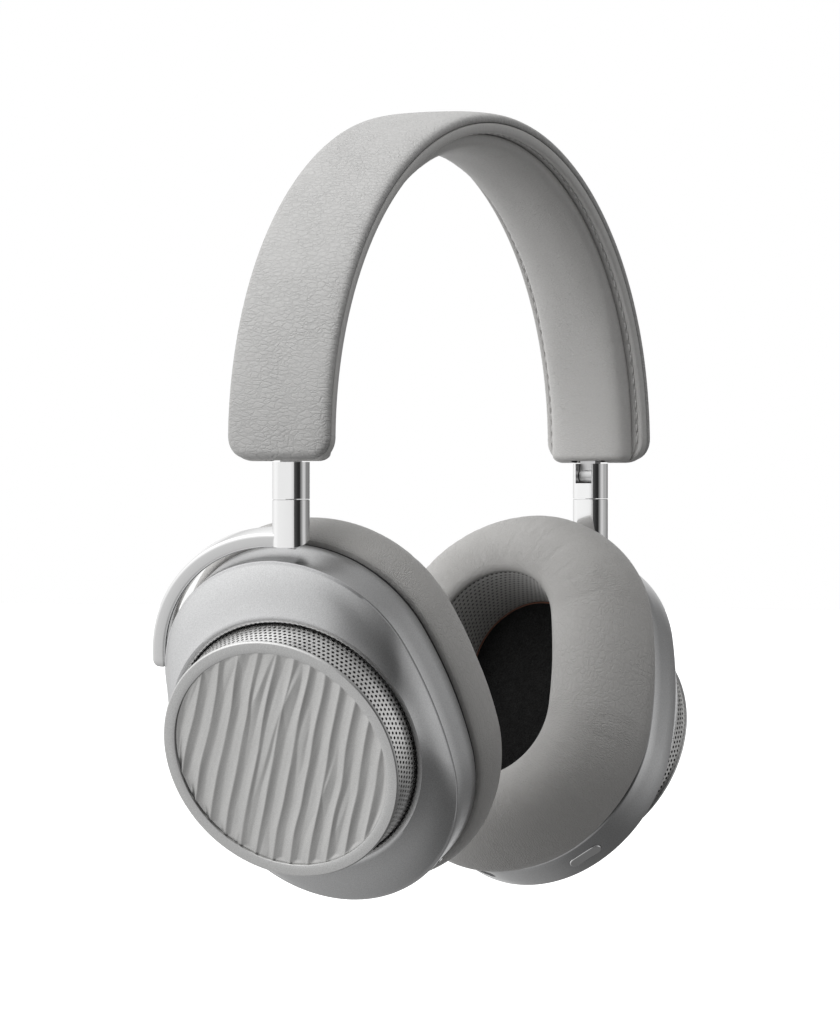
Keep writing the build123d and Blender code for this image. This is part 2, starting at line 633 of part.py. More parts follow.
CHIP_HEIGHT = 1.0
BOARD_GAP = 1.2
BATTERY_CORNER = 2.0
BATTERY_LENGTH = 34.0
BATTERY_WIDTH = 24.0
BATTERY_THICKNESS = 4.0
board_front = CARRIER_FRONT - CARRIER_THICKNESS - BOARD_GAP

with BuildPart() as baffle:
    with BuildSketch(cup_frame.offset(BAFFLE_BACK)):
        oval(-SHELL_WALL - BAFFLE_GAP)
        Circle(DRIVER_RADIUS, mode=Mode.SUBTRACT)
        with GridLocations(2 * BOSS_X, 2 * BOSS_Y, 2, 2):
            Circle(SCREW_RADIUS + SCREW_GAP, mode=Mode.SUBTRACT)
    extrude(amount=BAFFLE_THICKNESS)
    with BuildSketch(cup_frame.offset(BAFFLE_BACK)):
        with GridLocations(2 * BOSS_X, 2 * BOSS_Y, 2, 2):
            Circle(SCREW_HEAD_RADIUS + SCREW_GAP)
    extrude(amount=SCREW_HEAD_HEIGHT + SCREW_GAP, mode=Mode.SUBTRACT)
save_pair("baffle", baffle.part)

with BuildPart() as baffle_screws:
    with BuildSketch(cup_frame.offset(BAFFLE_BACK + SCREW_GAP)):
        with GridLocations(2 * BOSS_X, 2 * BOSS_Y, 2, 2):
            Circle(SCREW_HEAD_RADIUS)
    extrude(amount=SCREW_HEAD_HEIGHT)
    with BuildSketch(cup_frame.offset(BAFFLE_BACK + SCREW_GAP + SCREW_HEAD_HEIGHT)):
        with GridLocations(2 * BOSS_X, 2 * BOSS_Y, 2, 2):
            Circle(SCREW_RADIUS)
    extrude(amount=SCREW_LENGTH)
save_pair("baffle_screws", baffle_screws.part)

with BuildPart() as driver_frame:
    with BuildSketch(cup_frame.offset(BAFFLE_BACK + BAFFLE_THICKNESS)):
        Circle(DRIVER_RADIUS + DRIVER_FLANGE)
    extrude(amount=FLANGE_THICKNESS)
    with BuildSketch(cup_frame.offset(BAFFLE_BACK + BAFFLE_THICKNESS + FLANGE_THICKNESS)):
        Circle(DRIVER_RADIUS - BASKET_INSET)
    extrude(amount=BASKET_DEPTH - FLANGE_THICKNESS, taper=BASKET_TAPER)
    with BuildSketch(cup_frame.offset(BAFFLE_BACK + BAFFLE_THICKNESS)):
        Circle(DRIVER_RADIUS - BASKET_HOLLOW_INSET)
    extrude(amount=BASKET_DEPTH - BASKET_FLOOR, taper=BASKET_HOLLOW_TAPER, mode=Mode.SUBTRACT)
    with BuildSketch(cup_frame.offset(BAFFLE_BACK + BAFFLE_THICKNESS)):
        Circle(MAGNET_RADIUS)
    extrude(amount=BASKET_DEPTH, mode=Mode.SUBTRACT)
save_pair("driver_frame", driver_frame.part)

with BuildPart() as driver_magnet:
    with BuildSketch(cup_frame.offset(BAFFLE_BACK + BAFFLE_THICKNESS + MAGNET_START)):
        Circle(MAGNET_RADIUS)
    extrude(amount=BASKET_DEPTH - MAGNET_START)
save_pair("driver_magnet", driver_magnet.part)

with BuildPart() as driver_cone:
    with BuildSketch(cup_frame.offset(BAFFLE_BACK + BAFFLE_THICKNESS)):
        Circle(DRIVER_RADIUS - CONE_GAP)
    extrude(amount=-CONE_THICKNESS)
    with BuildSketch(cup_frame.offset(BAFFLE_BACK + BAFFLE_THICKNESS - CONE_THICKNESS)):
        Circle(DRIVER_RADIUS - DOME_INSET)
    extrude(amount=-CONE_THICKNESS, taper=45)
save_pair("driver_cone", driver_cone.part)

with BuildPart() as main_board:
    with BuildSketch(cup_frame.offset(board_front)):
        Circle(BOARD_RADIUS)
        with PolarLocations(BOARD_HOLE_CIRCLE, 4, 45):
            Circle(BOARD_HOLE_RADIUS, mode=Mode.SUBTRACT)
    extrude(amount=-BOARD_THICKNESS)
    with BuildSketch(cup_frame.offset(board_front - BOARD_THICKNESS)):
        with Locations(*CHIP_PLACES):
            Rectangle(CHIP_LENGTH, CHIP_WIDTH)
    extrude(amount=-CHIP_HEIGHT)
save("main_board", main_board.part)

with BuildPart() as battery_right_hand:
    with BuildSketch(cup_frame.offset(board_front)):
        RectangleRounded(BATTERY_LENGTH, BATTERY_WIDTH, BATTERY_CORNER)
    extrude(amount=-BATTERY_THICKNESS)
with BuildPart() as battery:
    mirror(battery_right_hand.part, about=Plane.YZ, mode=Mode.ADD)
save("battery", battery.part)

# ---------------------------------------------------------------- ear pad
PAD_RING_THICKNESS = 1.4
PAD_RING_GAP = 0.1
PAD_RING_INSET = 0.8
LINING_GAP = 0.05
LINING_END_GAP = 2.0
PAD_BACK = BAFFLE_BACK - PAD_RING_THICKNESS - PAD_RING_GAP
PAD_RING_WIDTH = 9.0
CLOTH_THICKNESS = 0.6
PAD_FACE_RADIUS = 9.0
PAD_OPENING_RADIUS = 5.0
PAD_BACK_RADIUS = 2.5

with BuildPart() as pad_ring:
    with BuildSketch(cup_frame.offset(PAD_BACK)):
        oval(-PAD_RING_INSET)
        with BuildSketch(mode=Mode.PRIVATE) as inside:
            oval(-PAD_RING_INSET - PAD_RING_WIDTH)
        add(inside.sketch, mode=Mode.SUBTRACT)
    extrude(amount=PAD_RING_THICKNESS)
save_pair("pad_ring", pad_ring.part)

with BuildPart() as ear_pad:
    with BuildSketch(cup_frame.offset(PAD_BACK)):
        oval(PAD_BULGE)
        with BuildSketch(mode=Mode.PRIVATE) as hollow:
            pad_opening()
        add(hollow.sketch, mode=Mode.SUBTRACT)
    extrude(amount=-PAD_DEPTH)
    face_edges = ear_pad.faces().sort_by(lambda face: face.center().dot(cup_normal))[0].edges()
    long_edges = face_edges.sort_by(lambda edge: (edge.center() - cup_centre).length)
    fillet(long_edges[4:], PAD_FACE_RADIUS)
    face_edges = ear_pad.faces().filter_by(GeomType.PLANE).sort_by(
        lambda face: face.center().dot(cup_normal))[0].edges()
    long_edges = face_edges.sort_by(lambda edge: (edge.center() - cup_centre).length)
    fillet(long_edges[:4], PAD_OPENING_RADIUS)
    back_edges = ear_pad.faces().filter_by(GeomType.PLANE).sort_by(
        lambda face: face.center().dot(cup_normal))[-1].edges()
    long_edges = back_edges.sort_by(lambda edge: (edge.center() - cup_centre).length)
    fillet(long_edges[4:], PAD_BACK_RADIUS)
save_pair("ear_pad", ear_pad.part)

with BuildPart() as pad_lining:
    with BuildSketch(cup_frame.offset(PAD_BACK - CLOTH_THICKNESS - LINING_GAP)):
        pad_opening(-LINING_GAP)
        with BuildSketch(mode=Mode.PRIVATE) as hollow:
            pad_opening(-LINING_THICKNESS)
        add(hollow.sketch, mode=Mode.SUBTRACT)
    extrude(amount=-(PAD_DEPTH - PAD_OPENING_RADIUS - LINING_END_GAP))
save_pair("pad_lining", pad_lining.part)

with BuildPart() as driver_cloth:
    with BuildSketch(cup_frame.offset(PAD_BACK)):
        pad_opening(-LINING_GAP)
    extrude(amount=-CLOTH_THICKNESS)
save_pair("driver_cloth", driver_cloth.part)
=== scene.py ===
"""Looks of the folding over-ear headphones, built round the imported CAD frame.

Lengths are in millimetres until a mesh is made, and every piece is made where the CAD model has
it. Each right-hand piece has a left-hand twin, mirrored in the YZ plane.
"""
import bpy
import json
from math import atan2, cos, hypot, pi, radians, sin, sqrt, tau
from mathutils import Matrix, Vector, noise


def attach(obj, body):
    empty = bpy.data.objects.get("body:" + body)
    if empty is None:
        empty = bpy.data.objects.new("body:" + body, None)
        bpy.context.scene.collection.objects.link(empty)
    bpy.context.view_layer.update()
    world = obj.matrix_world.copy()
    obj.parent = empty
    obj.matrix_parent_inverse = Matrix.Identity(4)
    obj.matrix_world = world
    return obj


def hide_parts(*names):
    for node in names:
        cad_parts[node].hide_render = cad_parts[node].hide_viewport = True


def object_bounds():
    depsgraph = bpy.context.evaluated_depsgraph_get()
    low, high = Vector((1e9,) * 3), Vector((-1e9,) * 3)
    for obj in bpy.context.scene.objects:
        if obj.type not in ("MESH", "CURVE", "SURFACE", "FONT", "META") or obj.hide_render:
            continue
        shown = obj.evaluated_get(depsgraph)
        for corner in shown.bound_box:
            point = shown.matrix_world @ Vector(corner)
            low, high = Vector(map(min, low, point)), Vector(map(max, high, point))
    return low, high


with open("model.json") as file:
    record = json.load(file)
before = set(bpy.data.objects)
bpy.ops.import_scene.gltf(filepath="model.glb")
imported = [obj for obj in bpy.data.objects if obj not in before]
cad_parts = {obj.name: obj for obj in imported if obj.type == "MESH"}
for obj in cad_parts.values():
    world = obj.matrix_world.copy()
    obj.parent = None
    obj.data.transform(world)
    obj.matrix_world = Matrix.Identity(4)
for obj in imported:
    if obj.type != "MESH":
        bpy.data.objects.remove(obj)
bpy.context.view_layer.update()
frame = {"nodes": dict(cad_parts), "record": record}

MM = 0.001
SIDES = {"right": 1, "left": -1}

# ---------------------------------------------------------------- sizes shared with the CAD model
BASE_RADIUS = 77.7
CUSHION_RADIUS = 75.1
HEAD_RADIUS = 70.7
BAND_HALF_WIDTH = 13.8
BAND_CORNER = 5.5
COVER_TAIL = 4.0
BASE_TAIL = 4.4
CUSHION_HALF_WIDTH = 10.9
CUSHION_CORNER = 2.2

STEM_X = 73.0
STEM_DEPTH = 6.6
STEM_WIDTH = 8.6
STEM_CORNER = 2.6
POST_TOP_Z = -84.12
POST_END_Z = -94.2
POST_POCKET_Z = -91.6

HALF_WIDTH = 34.8
HALF_HEIGHT = 44.3
END_RADIUS = 34.0
SIDE_DEPTH = 10.8
SHELL_WALL = 1.6
CONE_RISE = 6.4
LIP_RADIUS = 33.1
LIP_INNER_RADIUS = 31.0
CAP_SHIFT = 1.0
CARRIER_FRONT = 4.4
GRILLE_RADIUS = 29.8
GRILLE_FOOT_RADIUS = 30.8
BEZEL_RADIUS = 30.4
BEZEL_FLOOR_RADIUS = 27.0
BEZEL_BACK = 14.5
BEZEL_FRONT = 15.4
INSERT_RADIUS = 27.4

ARM_RISE = 0.9
ARM_GAP = 1.3
ARM_THICKNESS = 3.6
ARM_DEPTH = 5.4

PAD_BULGE = 2.0
OPENING_HALF_WIDTH = 17.5
OPENING_HALF_HEIGHT = 27.5
OPENING_END_RADIUS = 0.97 * OPENING_HALF_WIDTH

BUTTON_ANGLE = -112.5
BUTTON_SLOT = (9.24, 3.64)
SOCKET_ANGLE = -60.0
SOCKET_SLOT = (9.0, 3.3)

TOE = radians(4.0)
TILT = radians(23.0)
ROLL = radians(12.8)
ACROSS = Vector((sin(TOE), cos(TOE), 0))
OUTWARD = Vector((cos(TOE), -sin(TOE), 0))
NORMAL = Vector((cos(TILT) * cos(TOE), -cos(TILT) * sin(TOE), -sin(TILT)))
UNROLLED_UP = NORMAL.cross(ACROSS)
CUP_X = ACROSS * cos(ROLL) - UNROLLED_UP * sin(ROLL)
CUP_Y = NORMAL.cross(CUP_X)
CUP_CENTRE = Vector((STEM_X, 0, -139.2)) + OUTWARD * -13.7 + ACROSS * 1.8


# ---------------------------------------------------------------- mesh helpers
def cup_point(x, y, z):
    """Place of a point in the right-hand cup's own frame: x across, y up, z out of the cap."""
    return CUP_CENTRE + CUP_X * x + CUP_Y * y + NORMAL * z


def grid_faces(rows, cols, close_rows=False, close_cols=True):
    """Quads between points numbered row by row."""
    faces = []
    for i in range(rows if close_rows else rows - 1):
        for j in range(cols if close_cols else cols - 1):
            a = i * cols + j
            b = i * cols + (j + 1) % cols
            c = ((i + 1) % rows) * cols + (j + 1) % cols
            d = ((i + 1) % rows) * cols + j
            faces.append((a, b, c, d))
    return faces


def mesh_object(name, points, faces, side):
    """Object in the scene from right-hand points in millimetres, mirrored for the left side."""
    factor = SIDES[side]
    mesh = bpy.data.meshes.new(name)
    if factor < 0:
        faces = [tuple(reversed(face)) for face in faces]
    mesh.from_pydata([(p[0] * MM * factor, p[1] * MM, p[2] * MM) for p in points], [], faces)
    made = bpy.data.objects.new(name, mesh)
    bpy.context.scene.collection.objects.link(made)
    return made


def make_piece(name, points, faces, material, body, replaced=(), uvs=None, side="right",
               sharp=None):
    """Piece from points in millimetres, riding on a body and standing for CAD nodes."""
    piece = mesh_object(name, points, faces, side)
    mesh = piece.data
    if uvs:
        layer = mesh.uv_layers.new(name="along")
        for loop in mesh.loops:
            layer.data[loop.index].uv = uvs[loop.vertex_index]
    mesh.materials.append(material)
    mesh.update()
    smooth(piece, sharp)
    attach(piece, body)
    if replaced:
        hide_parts(*replaced)
    return piece


def smooth(piece, sharp):
    """Smooth shading, with edges over the sharp angle in degrees kept crisp, if there is one."""
    piece.data.polygons.foreach_set("use_smooth", [True] * len(piece.data.polygons))
    if sharp:
        piece.data.set_sharp_from_angle(angle=radians(sharp))


def oval_point(angle, grow, half_width=HALF_WIDTH, half_height=HALF_HEIGHT, end_radius=END_RADIUS):
    """Point of a four-arc oval where its outward normal has this angle, moved out by grow."""
    c = half_height - end_radius
    side = (half_width**2 + c**2 - end_radius**2) / (2 * (half_width - end_radius))
    change = atan2(c, side - half_width)
    x, y = cos(angle), sin(angle)
    if abs(y) < sin(change):
        radius = side + grow
        centre = (-(side - half_width) if x > 0 else side - half_width, 0)
    else:
        radius = end_radius + grow
        centre = (0, c if y > 0 else -c)
    return centre[0] + radius * x, centre[1] + radius * y


def rounded_rectangle(half_u, half_v, corner, steps):
    """Outline with round corners of so many points each, as (u, v) pairs."""
    outline = []
    for quarter, (u_sign, v_sign) in enumerate(((1, 1), (-1, 1), (-1, -1), (1, -1))):
        for k in range(steps):
            turn = pi / 2 * (quarter + k / (steps - 1))
            outline.append((u_sign * (half_u - corner) + corner * cos(turn),
                            v_sign * (half_v - corner) + corner * sin(turn)))
    return outline


def opening_point(angle, grow):
    """Point of the ear pad's tall opening, by the angle of its normal."""
    return oval_point(angle, grow, OPENING_HALF_WIDTH, OPENING_HALF_HEIGHT, OPENING_END_RADIUS)


def circle_point(angle, radius):
    """Point of a circle round the cap's centre, in the cup's frame."""
    return CAP_SHIFT + radius * cos(angle), radius * sin(angle)


def spline(points, steps):
    """Catmull-Rom curve through points of any dimension, with steps samples between each two."""
    padded = [points[0]] + list(points) + [points[-1]]
    curve = []
    for i in range(len(points) - 1):
        p0, p1, p2, p3 = padded[i:i + 4]
        for k in range(steps):
            t = k / steps
            curve.append(tuple(
                0.5 * (2 * b + (c - a) * t + (2 * a - 5 * b + 4 * c - d) * t * t
                       + (3 * b - a - 3 * c + d) * t**3)
                for a, b, c, d in zip(p0, p1, p2, p3)))
    curve.append(tuple(points[-1]))
    return curve


def carve(piece, points, faces, side, sharp):
    """Cuts a closed shape, given in millimetres, out of a piece."""
    cutter = mesh_object("cutter", points, faces, side)
    modifier = piece.modifiers.new("opening", "BOOLEAN")
    modifier.object = cutter
    modifier.operation = "DIFFERENCE"
    modifier.solver = "EXACT"
    bpy.context.view_layer.update()
    graph = bpy.context.evaluated_depsgraph_get()
    result = bpy.data.meshes.new_from_object(piece.evaluated_get(graph))
    piece.modifiers.clear()
    old = piece.data
    piece.data = result
    bpy.data.meshes.remove(old)
    bpy.data.objects.remove(cutter)
    smooth(piece, sharp)


def ease(value):
    """Smooth step from 0 to 1."""
    value = min(1.0, max(0.0, value))
    return value * value * (3 - 2 * value)


# ---------------------------------------------------------------- material helpers
class NodeTree:
    """The node tree of a material or a world."""

    def __init__(self, owner):
        owner.use_nodes = True
        self.nodes = owner.node_tree.nodes
        self.links = owner.node_tree.links

    def math(self, operation, *values):
        """Math node whose inputs are numbers or other nodes' outputs."""
        node = self.nodes.new("ShaderNodeMath")
        node.operation = operation
        for socket, value in zip(node.inputs, values):
            if isinstance(value, (int, float)):
                socket.default_value = value
            else:
                self.links.new(value, socket)
        return node.outputs["Value"]


class Shader(NodeTree):
    """One node material with a Principled shader."""

    def __init__(self, name, colour, roughness, metallic=0.0, **sockets):
        self.material = bpy.data.materials.new(name)
        super().__init__(self.material)
        self.base = self.nodes["Principled BSDF"]
        self.base.inputs["Base Color"].default_value = (*colour, 1)
        self.base.inputs["Roughness"].default_value = roughness
        self.base.inputs["Metallic"].default_value = metallic
        self.base.inputs["Specular IOR Level"].default_value = 0.45
        for socket, value in sockets.items():
            self.base.inputs[socket.replace("_", " ")].default_value = value
        self.coords = self.nodes.new("ShaderNodeTexCoord")
        self.normal = None

    def stretch(self, output, scale):
        """Texture coordinates scaled by three factors, per metre."""
        mapping = self.nodes.new("ShaderNodeMapping")
        mapping.inputs["Scale"].default_value = scale
        self.links.new(self.coords.outputs[output], mapping.inputs["Vector"])
        return mapping.outputs["Vector"]

    def noise(self, vector, scale=1.0, detail=3.0, rough=0.55, distortion=0.0):
        texture = self.nodes.new("ShaderNodeTexNoise")
        texture.inputs["Scale"].default_value = scale
        texture.inputs["Detail"].default_value = detail
        texture.inputs["Roughness"].default_value = rough
        texture.inputs["Distortion"].default_value = distortion
        self.links.new(vector, texture.inputs["Vector"])
        return texture.outputs["Fac"]

    def cells(self, vector):
        """Distance to the nearest edge of a net of cells, one per unit."""
        texture = self.nodes.new("ShaderNodeTexVoronoi")
        texture.feature = "DISTANCE_TO_EDGE"
        texture.inputs["Scale"].default_value = 1.0
        self.links.new(vector, texture.inputs["Vector"])
        return texture.outputs["Distance"]

    def span(self, value, low, high, new_low=0.0, new_high=1.0):
        """Value between low and high, spread over a new range."""
        node = self.nodes.new("ShaderNodeMapRange")
        node.inputs["From Min"].default_value = low
        node.inputs["From Max"].default_value = high
        node.inputs["To Min"].default_value = new_low
        node.inputs["To Max"].default_value = new_high
        self.links.new(value, node.inputs["Value"])
        return node.outputs["Result"]

    def warp(self, vector, source, amount):
        """Vector moved by an amount of a noise, so that a pattern isn't regular."""
        node = self.nodes.new("ShaderNodeVectorMath")
        node.operation = "MULTIPLY_ADD"
        self.links.new(source, node.inputs[0])
        node.inputs[1].default_value = (amount, amount, amount)
        self.links.new(vector, node.inputs[2])
        return node.outputs["Vector"]

    def bump(self, height, depth):
        """Adds a bump whose height of 1 is depth metres."""
        node = self.nodes.new("ShaderNodeBump")
        node.inputs["Strength"].default_value = 1.0
        node.inputs["Distance"].default_value = depth
        self.links.new(height, node.inputs["Height"])
        if self.normal:
            self.links.new(self.normal, node.inputs["Normal"])
        self.normal = node.outputs["Normal"]
        self.links.new(self.normal, self.base.inputs["Normal"])

    def tint(self, factor, first, second):
        """Base colour between two colours by a factor."""
        node = self.nodes.new("ShaderNodeMix")
        node.data_type = "RGBA"
        node.inputs[6].default_value = (*first, 1)
        node.inputs[7].default_value = (*second, 1)
        self.links.new(factor, node.inputs[0])
        self.links.new(node.outputs[2], self.base.inputs["Base Color"])

    def set(self, socket, value):
        self.links.new(value, self.base.inputs[socket])


def shade(colour, factor):
    """A colour made lighter or darker."""
    return tuple(channel * factor for channel in colour)


def leather(name, colour, creases, crease_depth, grain_depth, roughness, line=0.86, output="UV"):
    """Leather whose grain is a net of creases; creases are its cells per metre both ways.

    The creases are line times as bright as the rest.
    """
    s = Shader(name, colour, roughness, Sheen_Weight=0.06, Sheen_Roughness=0.5)
    place = s.stretch("Object", (1, 1, 1))
    flat = s.stretch(output, (*creases, 1 if output == "UV" else creases[0]))
    wander = s.noise(place, 420, 3)
    bent = s.warp(flat, wander, 1.5)
    net = s.span(s.cells(bent), 0.0, 0.16)
    finer = s.stretch(output, (creases[0] * 2.1, creases[1] * 2.6, 1))
    small = s.span(s.cells(s.warp(finer, wander, 2.0)), 0.0, 0.22)
    tight = s.span(s.noise(place, 55, 3), 0.35, 0.65, 0.45, 1.0)
    grain = s.math("MULTIPLY", net, s.span(small, 0.0, 1.0, 0.6, 1.0))
    height = s.math("MULTIPLY", grain, tight)
    s.bump(height, crease_depth)
    s.bump(s.noise(place, 3200, 3), grain_depth)
    patches = s.span(s.noise(place, 40, 2), 0.3, 0.7, 0.9, 1.0)
    s.tint(s.math("MULTIPLY", s.span(grain, 0.0, 1.0, 0.35, 1.0), patches), shade(colour, line), colour)
    s.set("Roughness", s.span(grain, 0.0, 1.0, roughness + 0.12, roughness - 0.02))
    return s.material


def blasted_metal(name, colour, roughness, grain=4200.0, depth=0.000012):
    """Anodised aluminium with a fine bead-blasted grain."""
    s = Shader(name, colour, roughness, 1.0)
    place = s.stretch("Object", (1, 1, 1))
    speckle = s.noise(place, grain, 2, 0.6)
    cloud = s.noise(place, 45, 3)
    s.bump(speckle, depth)
    s.set("Roughness", s.span(cloud, 0.3, 0.7, roughness - 0.03, roughness + 0.03))
    s.tint(s.span(speckle, 0.35, 0.65), shade(colour, 0.86), shade(colour, 1.07))
    return s.material


def brushed_metal(name, colour, roughness, direction=(60, 9000, 9000)):
    """Metal with fine parallel brush lines."""
    s = Shader(name, colour, roughness, 1.0, Anisotropic=0.4)
    lines = s.noise(s.stretch("Object", direction), 1.0, 3)
    s.bump(lines, 0.000004)
    s.set("Roughness", s.span(lines, 0.3, 0.7, roughness - 0.05, roughness + 0.07))
    return s.material


def polished_metal(name, colour):
    """Polished plating with faint hairlines and a slight haze."""
    s = Shader(name, colour, 0.1, 1.0)
    place = s.stretch("Object", (1, 1, 1))
    hairlines = s.noise(s.stretch("Object", (4000, 4000, 120)), 1.0, 2)
    haze = s.noise(place, 180, 4)
    s.bump(hairlines, 0.0000012)
    s.set("Roughness", s.span(haze, 0.3, 0.7, 0.07, 0.13))
    return s.material


def felt(name, colour):
    """Black acoustic felt with short fibres."""
    s = Shader(name, colour, 0.95, Sheen_Weight=0.05, Sheen_Roughness=0.4, Specular_IOR_Level=0.08)
    fibres = s.noise(s.stretch("Object", (1, 1, 1)), 2600, 6, 0.7, 0.6)
    clumps = s.noise(s.stretch("Object", (1, 1, 1)), 500, 4)
    s.bump(fibres, 0.00025)
    s.tint(s.math("MULTIPLY", s.span(fibres, 0.35, 0.65), s.span(clumps, 0.3, 0.7, 0.6, 1.0)),
           shade(colour, 0.4), shade(colour, 2.4))
    return s.material


def knit(name, colour, stitch_width, stitch_height):
    """Knitted mesh with rows of dark gaps, each row set half a stitch along."""
    s = Shader(name, colour, 0.85, Sheen_Weight=0.3, Sheen_Roughness=0.4)
    split = s.nodes.new("ShaderNodeSeparateXYZ")
    s.links.new(s.coords.outputs["UV"], split.inputs["Vector"])
    row = s.math("DIVIDE", split.outputs["Y"], stitch_height)
    number = s.math("FLOOR", row)
    half = s.math("MULTIPLY", s.math("MODULO", number, 2.0), 0.5)
    column = s.math("ADD", s.math("DIVIDE", split.outputs["X"], stitch_width), half)
    x = s.math("SUBTRACT", s.math("FRACT", column), 0.5)
    y = s.math("SUBTRACT", s.math("FRACT", row), 0.5)
    slant = s.math("ABSOLUTE", s.math("ADD", x, s.math("MULTIPLY", y, 0.35)))
    inside = s.math("ADD", s.math("POWER", s.math("DIVIDE", slant, 0.30), 2.0),
                    s.math("POWER", s.math("ABSOLUTE", s.math("DIVIDE", y, 0.20)), 2.0))
    yarn = s.span(inside, 0.7, 1.25)
    fibres = s.noise(s.stretch("Object", (1, 1, 1)), 3500, 4)
    s.bump(yarn, 0.0003)
    s.bump(fibres, 0.00006)
    s.tint(s.math("MULTIPLY", yarn, s.span(fibres, 0.3, 0.7, 0.75, 1.0)), shade(colour, 0.16), colour)
    return s.material


def moulded_plastic(name, colour, roughness):
    """Plastic with a fine moulded texture."""
    s = Shader(name, colour, roughness)
    place = s.stretch("Object", (1, 1, 1))
    spark = s.noise(place, 3000, 3)
    s.bump(spark, 0.00002)
    s.set("Roughness", s.span(s.noise(place, 80, 3), 0.3, 0.7, roughness - 0.05, roughness + 0.05))
    return s.material


COVER = leather("band_leather", (0.43, 0.427, 0.421), (950, 430), 0.00016, 0.000012, 0.47)
LINING_LEATHER = leather("soft_leather", (0.54, 0.534, 0.524), (1500, 900), 0.00004, 0.00001, 0.46, 0.92)
PAD_LEATHER = leather("pad_leather", (0.40, 0.393, 0.383), (1500, 480), 0.00009, 0.00001, 0.47, 0.93)
THREAD = leather("thread", (0.60, 0.595, 0.585), (3000, 3000), 0.00003, 0.00001, 0.7, 0.85, "Object")
CUP_METAL = blasted_metal("cup_aluminium", (0.58, 0.582, 0.585), 0.31)
CAP_METAL = blasted_metal("cap_aluminium", (0.62, 0.62, 0.615), 0.34)
INSERT_METAL = blasted_metal("cap_insert", (0.59, 0.588, 0.58), 0.34, 5200.0, 0.00001)
GRILLE_METAL = blasted_metal("grille_aluminium", (0.92, 0.915, 0.905), 0.28)
CHROME = polished_metal("polished_metal", (0.78, 0.78, 0.78))
SATIN = brushed_metal("satin_metal", (0.62, 0.62, 0.62), 0.42, (9000, 9000, 90))
STEEL = brushed_metal("pin_steel", (0.50, 0.50, 0.50), 0.3)
SPRING = brushed_metal("spring_steel", (0.45, 0.45, 0.46), 0.3)
MAGNET = brushed_metal("magnet", (0.55, 0.55, 0.56), 0.25)
DARK_STEEL = blasted_metal("dark_steel", (0.09, 0.09, 0.10), 0.45)
FELT = felt("driver_cloth", (0.010, 0.010, 0.010))
KNIT = knit("lining_mesh", (0.42, 0.415, 0.405), 0.0017, 0.0011)
DARK_PLASTIC = moulded_plastic("inner_plastic", (0.03, 0.03, 0.033), 0.5)
BROWN_EDGE = moulded_plastic("foam_edge", (0.16, 0.075, 0.05), 0.8)
FILM = moulded_plastic("driver_film", (0.10, 0.09, 0.08), 0.25)
BOARD = moulded_plastic("circuit_board", (0.02, 0.11, 0.05), 0.3)
WRAP = moulded_plastic("battery_wrap", (0.05, 0.07, 0.14), 0.3)
RIBBON = moulded_plastic("cable", (0.55, 0.28, 0.06), 0.4)

SLOT_MATERIALS = {
    "band_leather": COVER, "soft_leather": LINING_LEATHER, "pad_leather": PAD_LEATHER,
    "lining_mesh": KNIT, "driver_cloth": FELT, "cup_aluminium": CUP_METAL,
    "cap_aluminium": CAP_METAL, "cap_insert": INSERT_METAL, "grille_aluminium": GRILLE_METAL,
    "polished_metal": CHROME, "satin_metal": SATIN, "pin_steel": STEEL, "spring_steel": SPRING,
    "dark_steel": DARK_STEEL, "inner_plastic": DARK_PLASTIC, "magnet": MAGNET, "driver_film": FILM,
    "circuit_board": BOARD, "battery_wrap": WRAP, "cable": RIBBON,
}
for entry in frame["record"]["subparts"]:
    node = frame["nodes"][entry["node"]]
    for material_slot in node.material_slots:
        material_slot.link = "OBJECT"
        material_slot.material = SLOT_MATERIALS[entry["material_slot"]]

# ---------------------------------------------------------------- headband
ARCH_STEPS = 240
TAIL_STEPS = 10


def band_stations(tail):
    """Stations along the arch as (place of the neutral line, outward direction, end distance, length)."""
    stations = []
    reach = [tail * (1 - cos(pi / 2 * i / TAIL_STEPS)) for i in range(TAIL_STEPS)]
    for down in reach:
        stations.append((-1.0, 0.0, -(tail - down), down))
    for i in range(ARCH_STEPS + 1):
        angle = pi * i / ARCH_STEPS
        stations.append((-cos(angle), sin(angle), 0.0, tail + min(angle, pi - angle) * BASE_RADIUS))
    for down in reversed(reach):
        stations.append((1.0, 0.0, -(tail - down), down))
    return stations


def band_piece(name, profile, tail, half_width, corner, root, soft_end, material, replaced,
               relief=None):
    """Sweeps a closed profile of (share of half width, radius) along the arch.

    Near both ends the half width follows a rounded corner, and radii close up towards root, so
    that the end is rounded too.
    """
    points, uvs = [], []
    stations = band_stations(tail)
    travelled = 0.0
    last = None
    for x, z, drop, end in stations:
        width = half_width
        if end < corner:
            width = half_width - corner + sqrt(max(0.0, corner**2 - (corner - end)**2))
        squeeze = 1.0
        if end < soft_end:
            squeeze = sqrt(max(0.0, 1 - (1 - end / soft_end)**2))
        here = Vector((x, 0, z)) * BASE_RADIUS + Vector((0, 0, drop))
        travelled += (here - last).length if last else 0.0
        last = here
        for share, radius in profile:
            r = root + (radius - root) * squeeze
            y = share * width
            if relief:
                r += relief(travelled, y, share, radius) * squeeze
            points.append((x * r, y, z * r + drop - HEAD_RADIUS))
            uvs.append((travelled * MM, y * MM))
    cols = len(profile)
    faces = grid_faces(len(stations), cols)
    faces.append(tuple(reversed(range(cols))))
    faces.append(tuple(range((len(stations) - 1) * cols, len(stations) * cols)))
    piece = make_piece(name, points, faces, material, "headband", replaced, uvs, sharp=60)
    return piece


def both_sides(half):
    """A closed profile from its half at positive y, which starts and ends near the middle."""
    return half + [(-share, radius) for share, radius in reversed(half)]


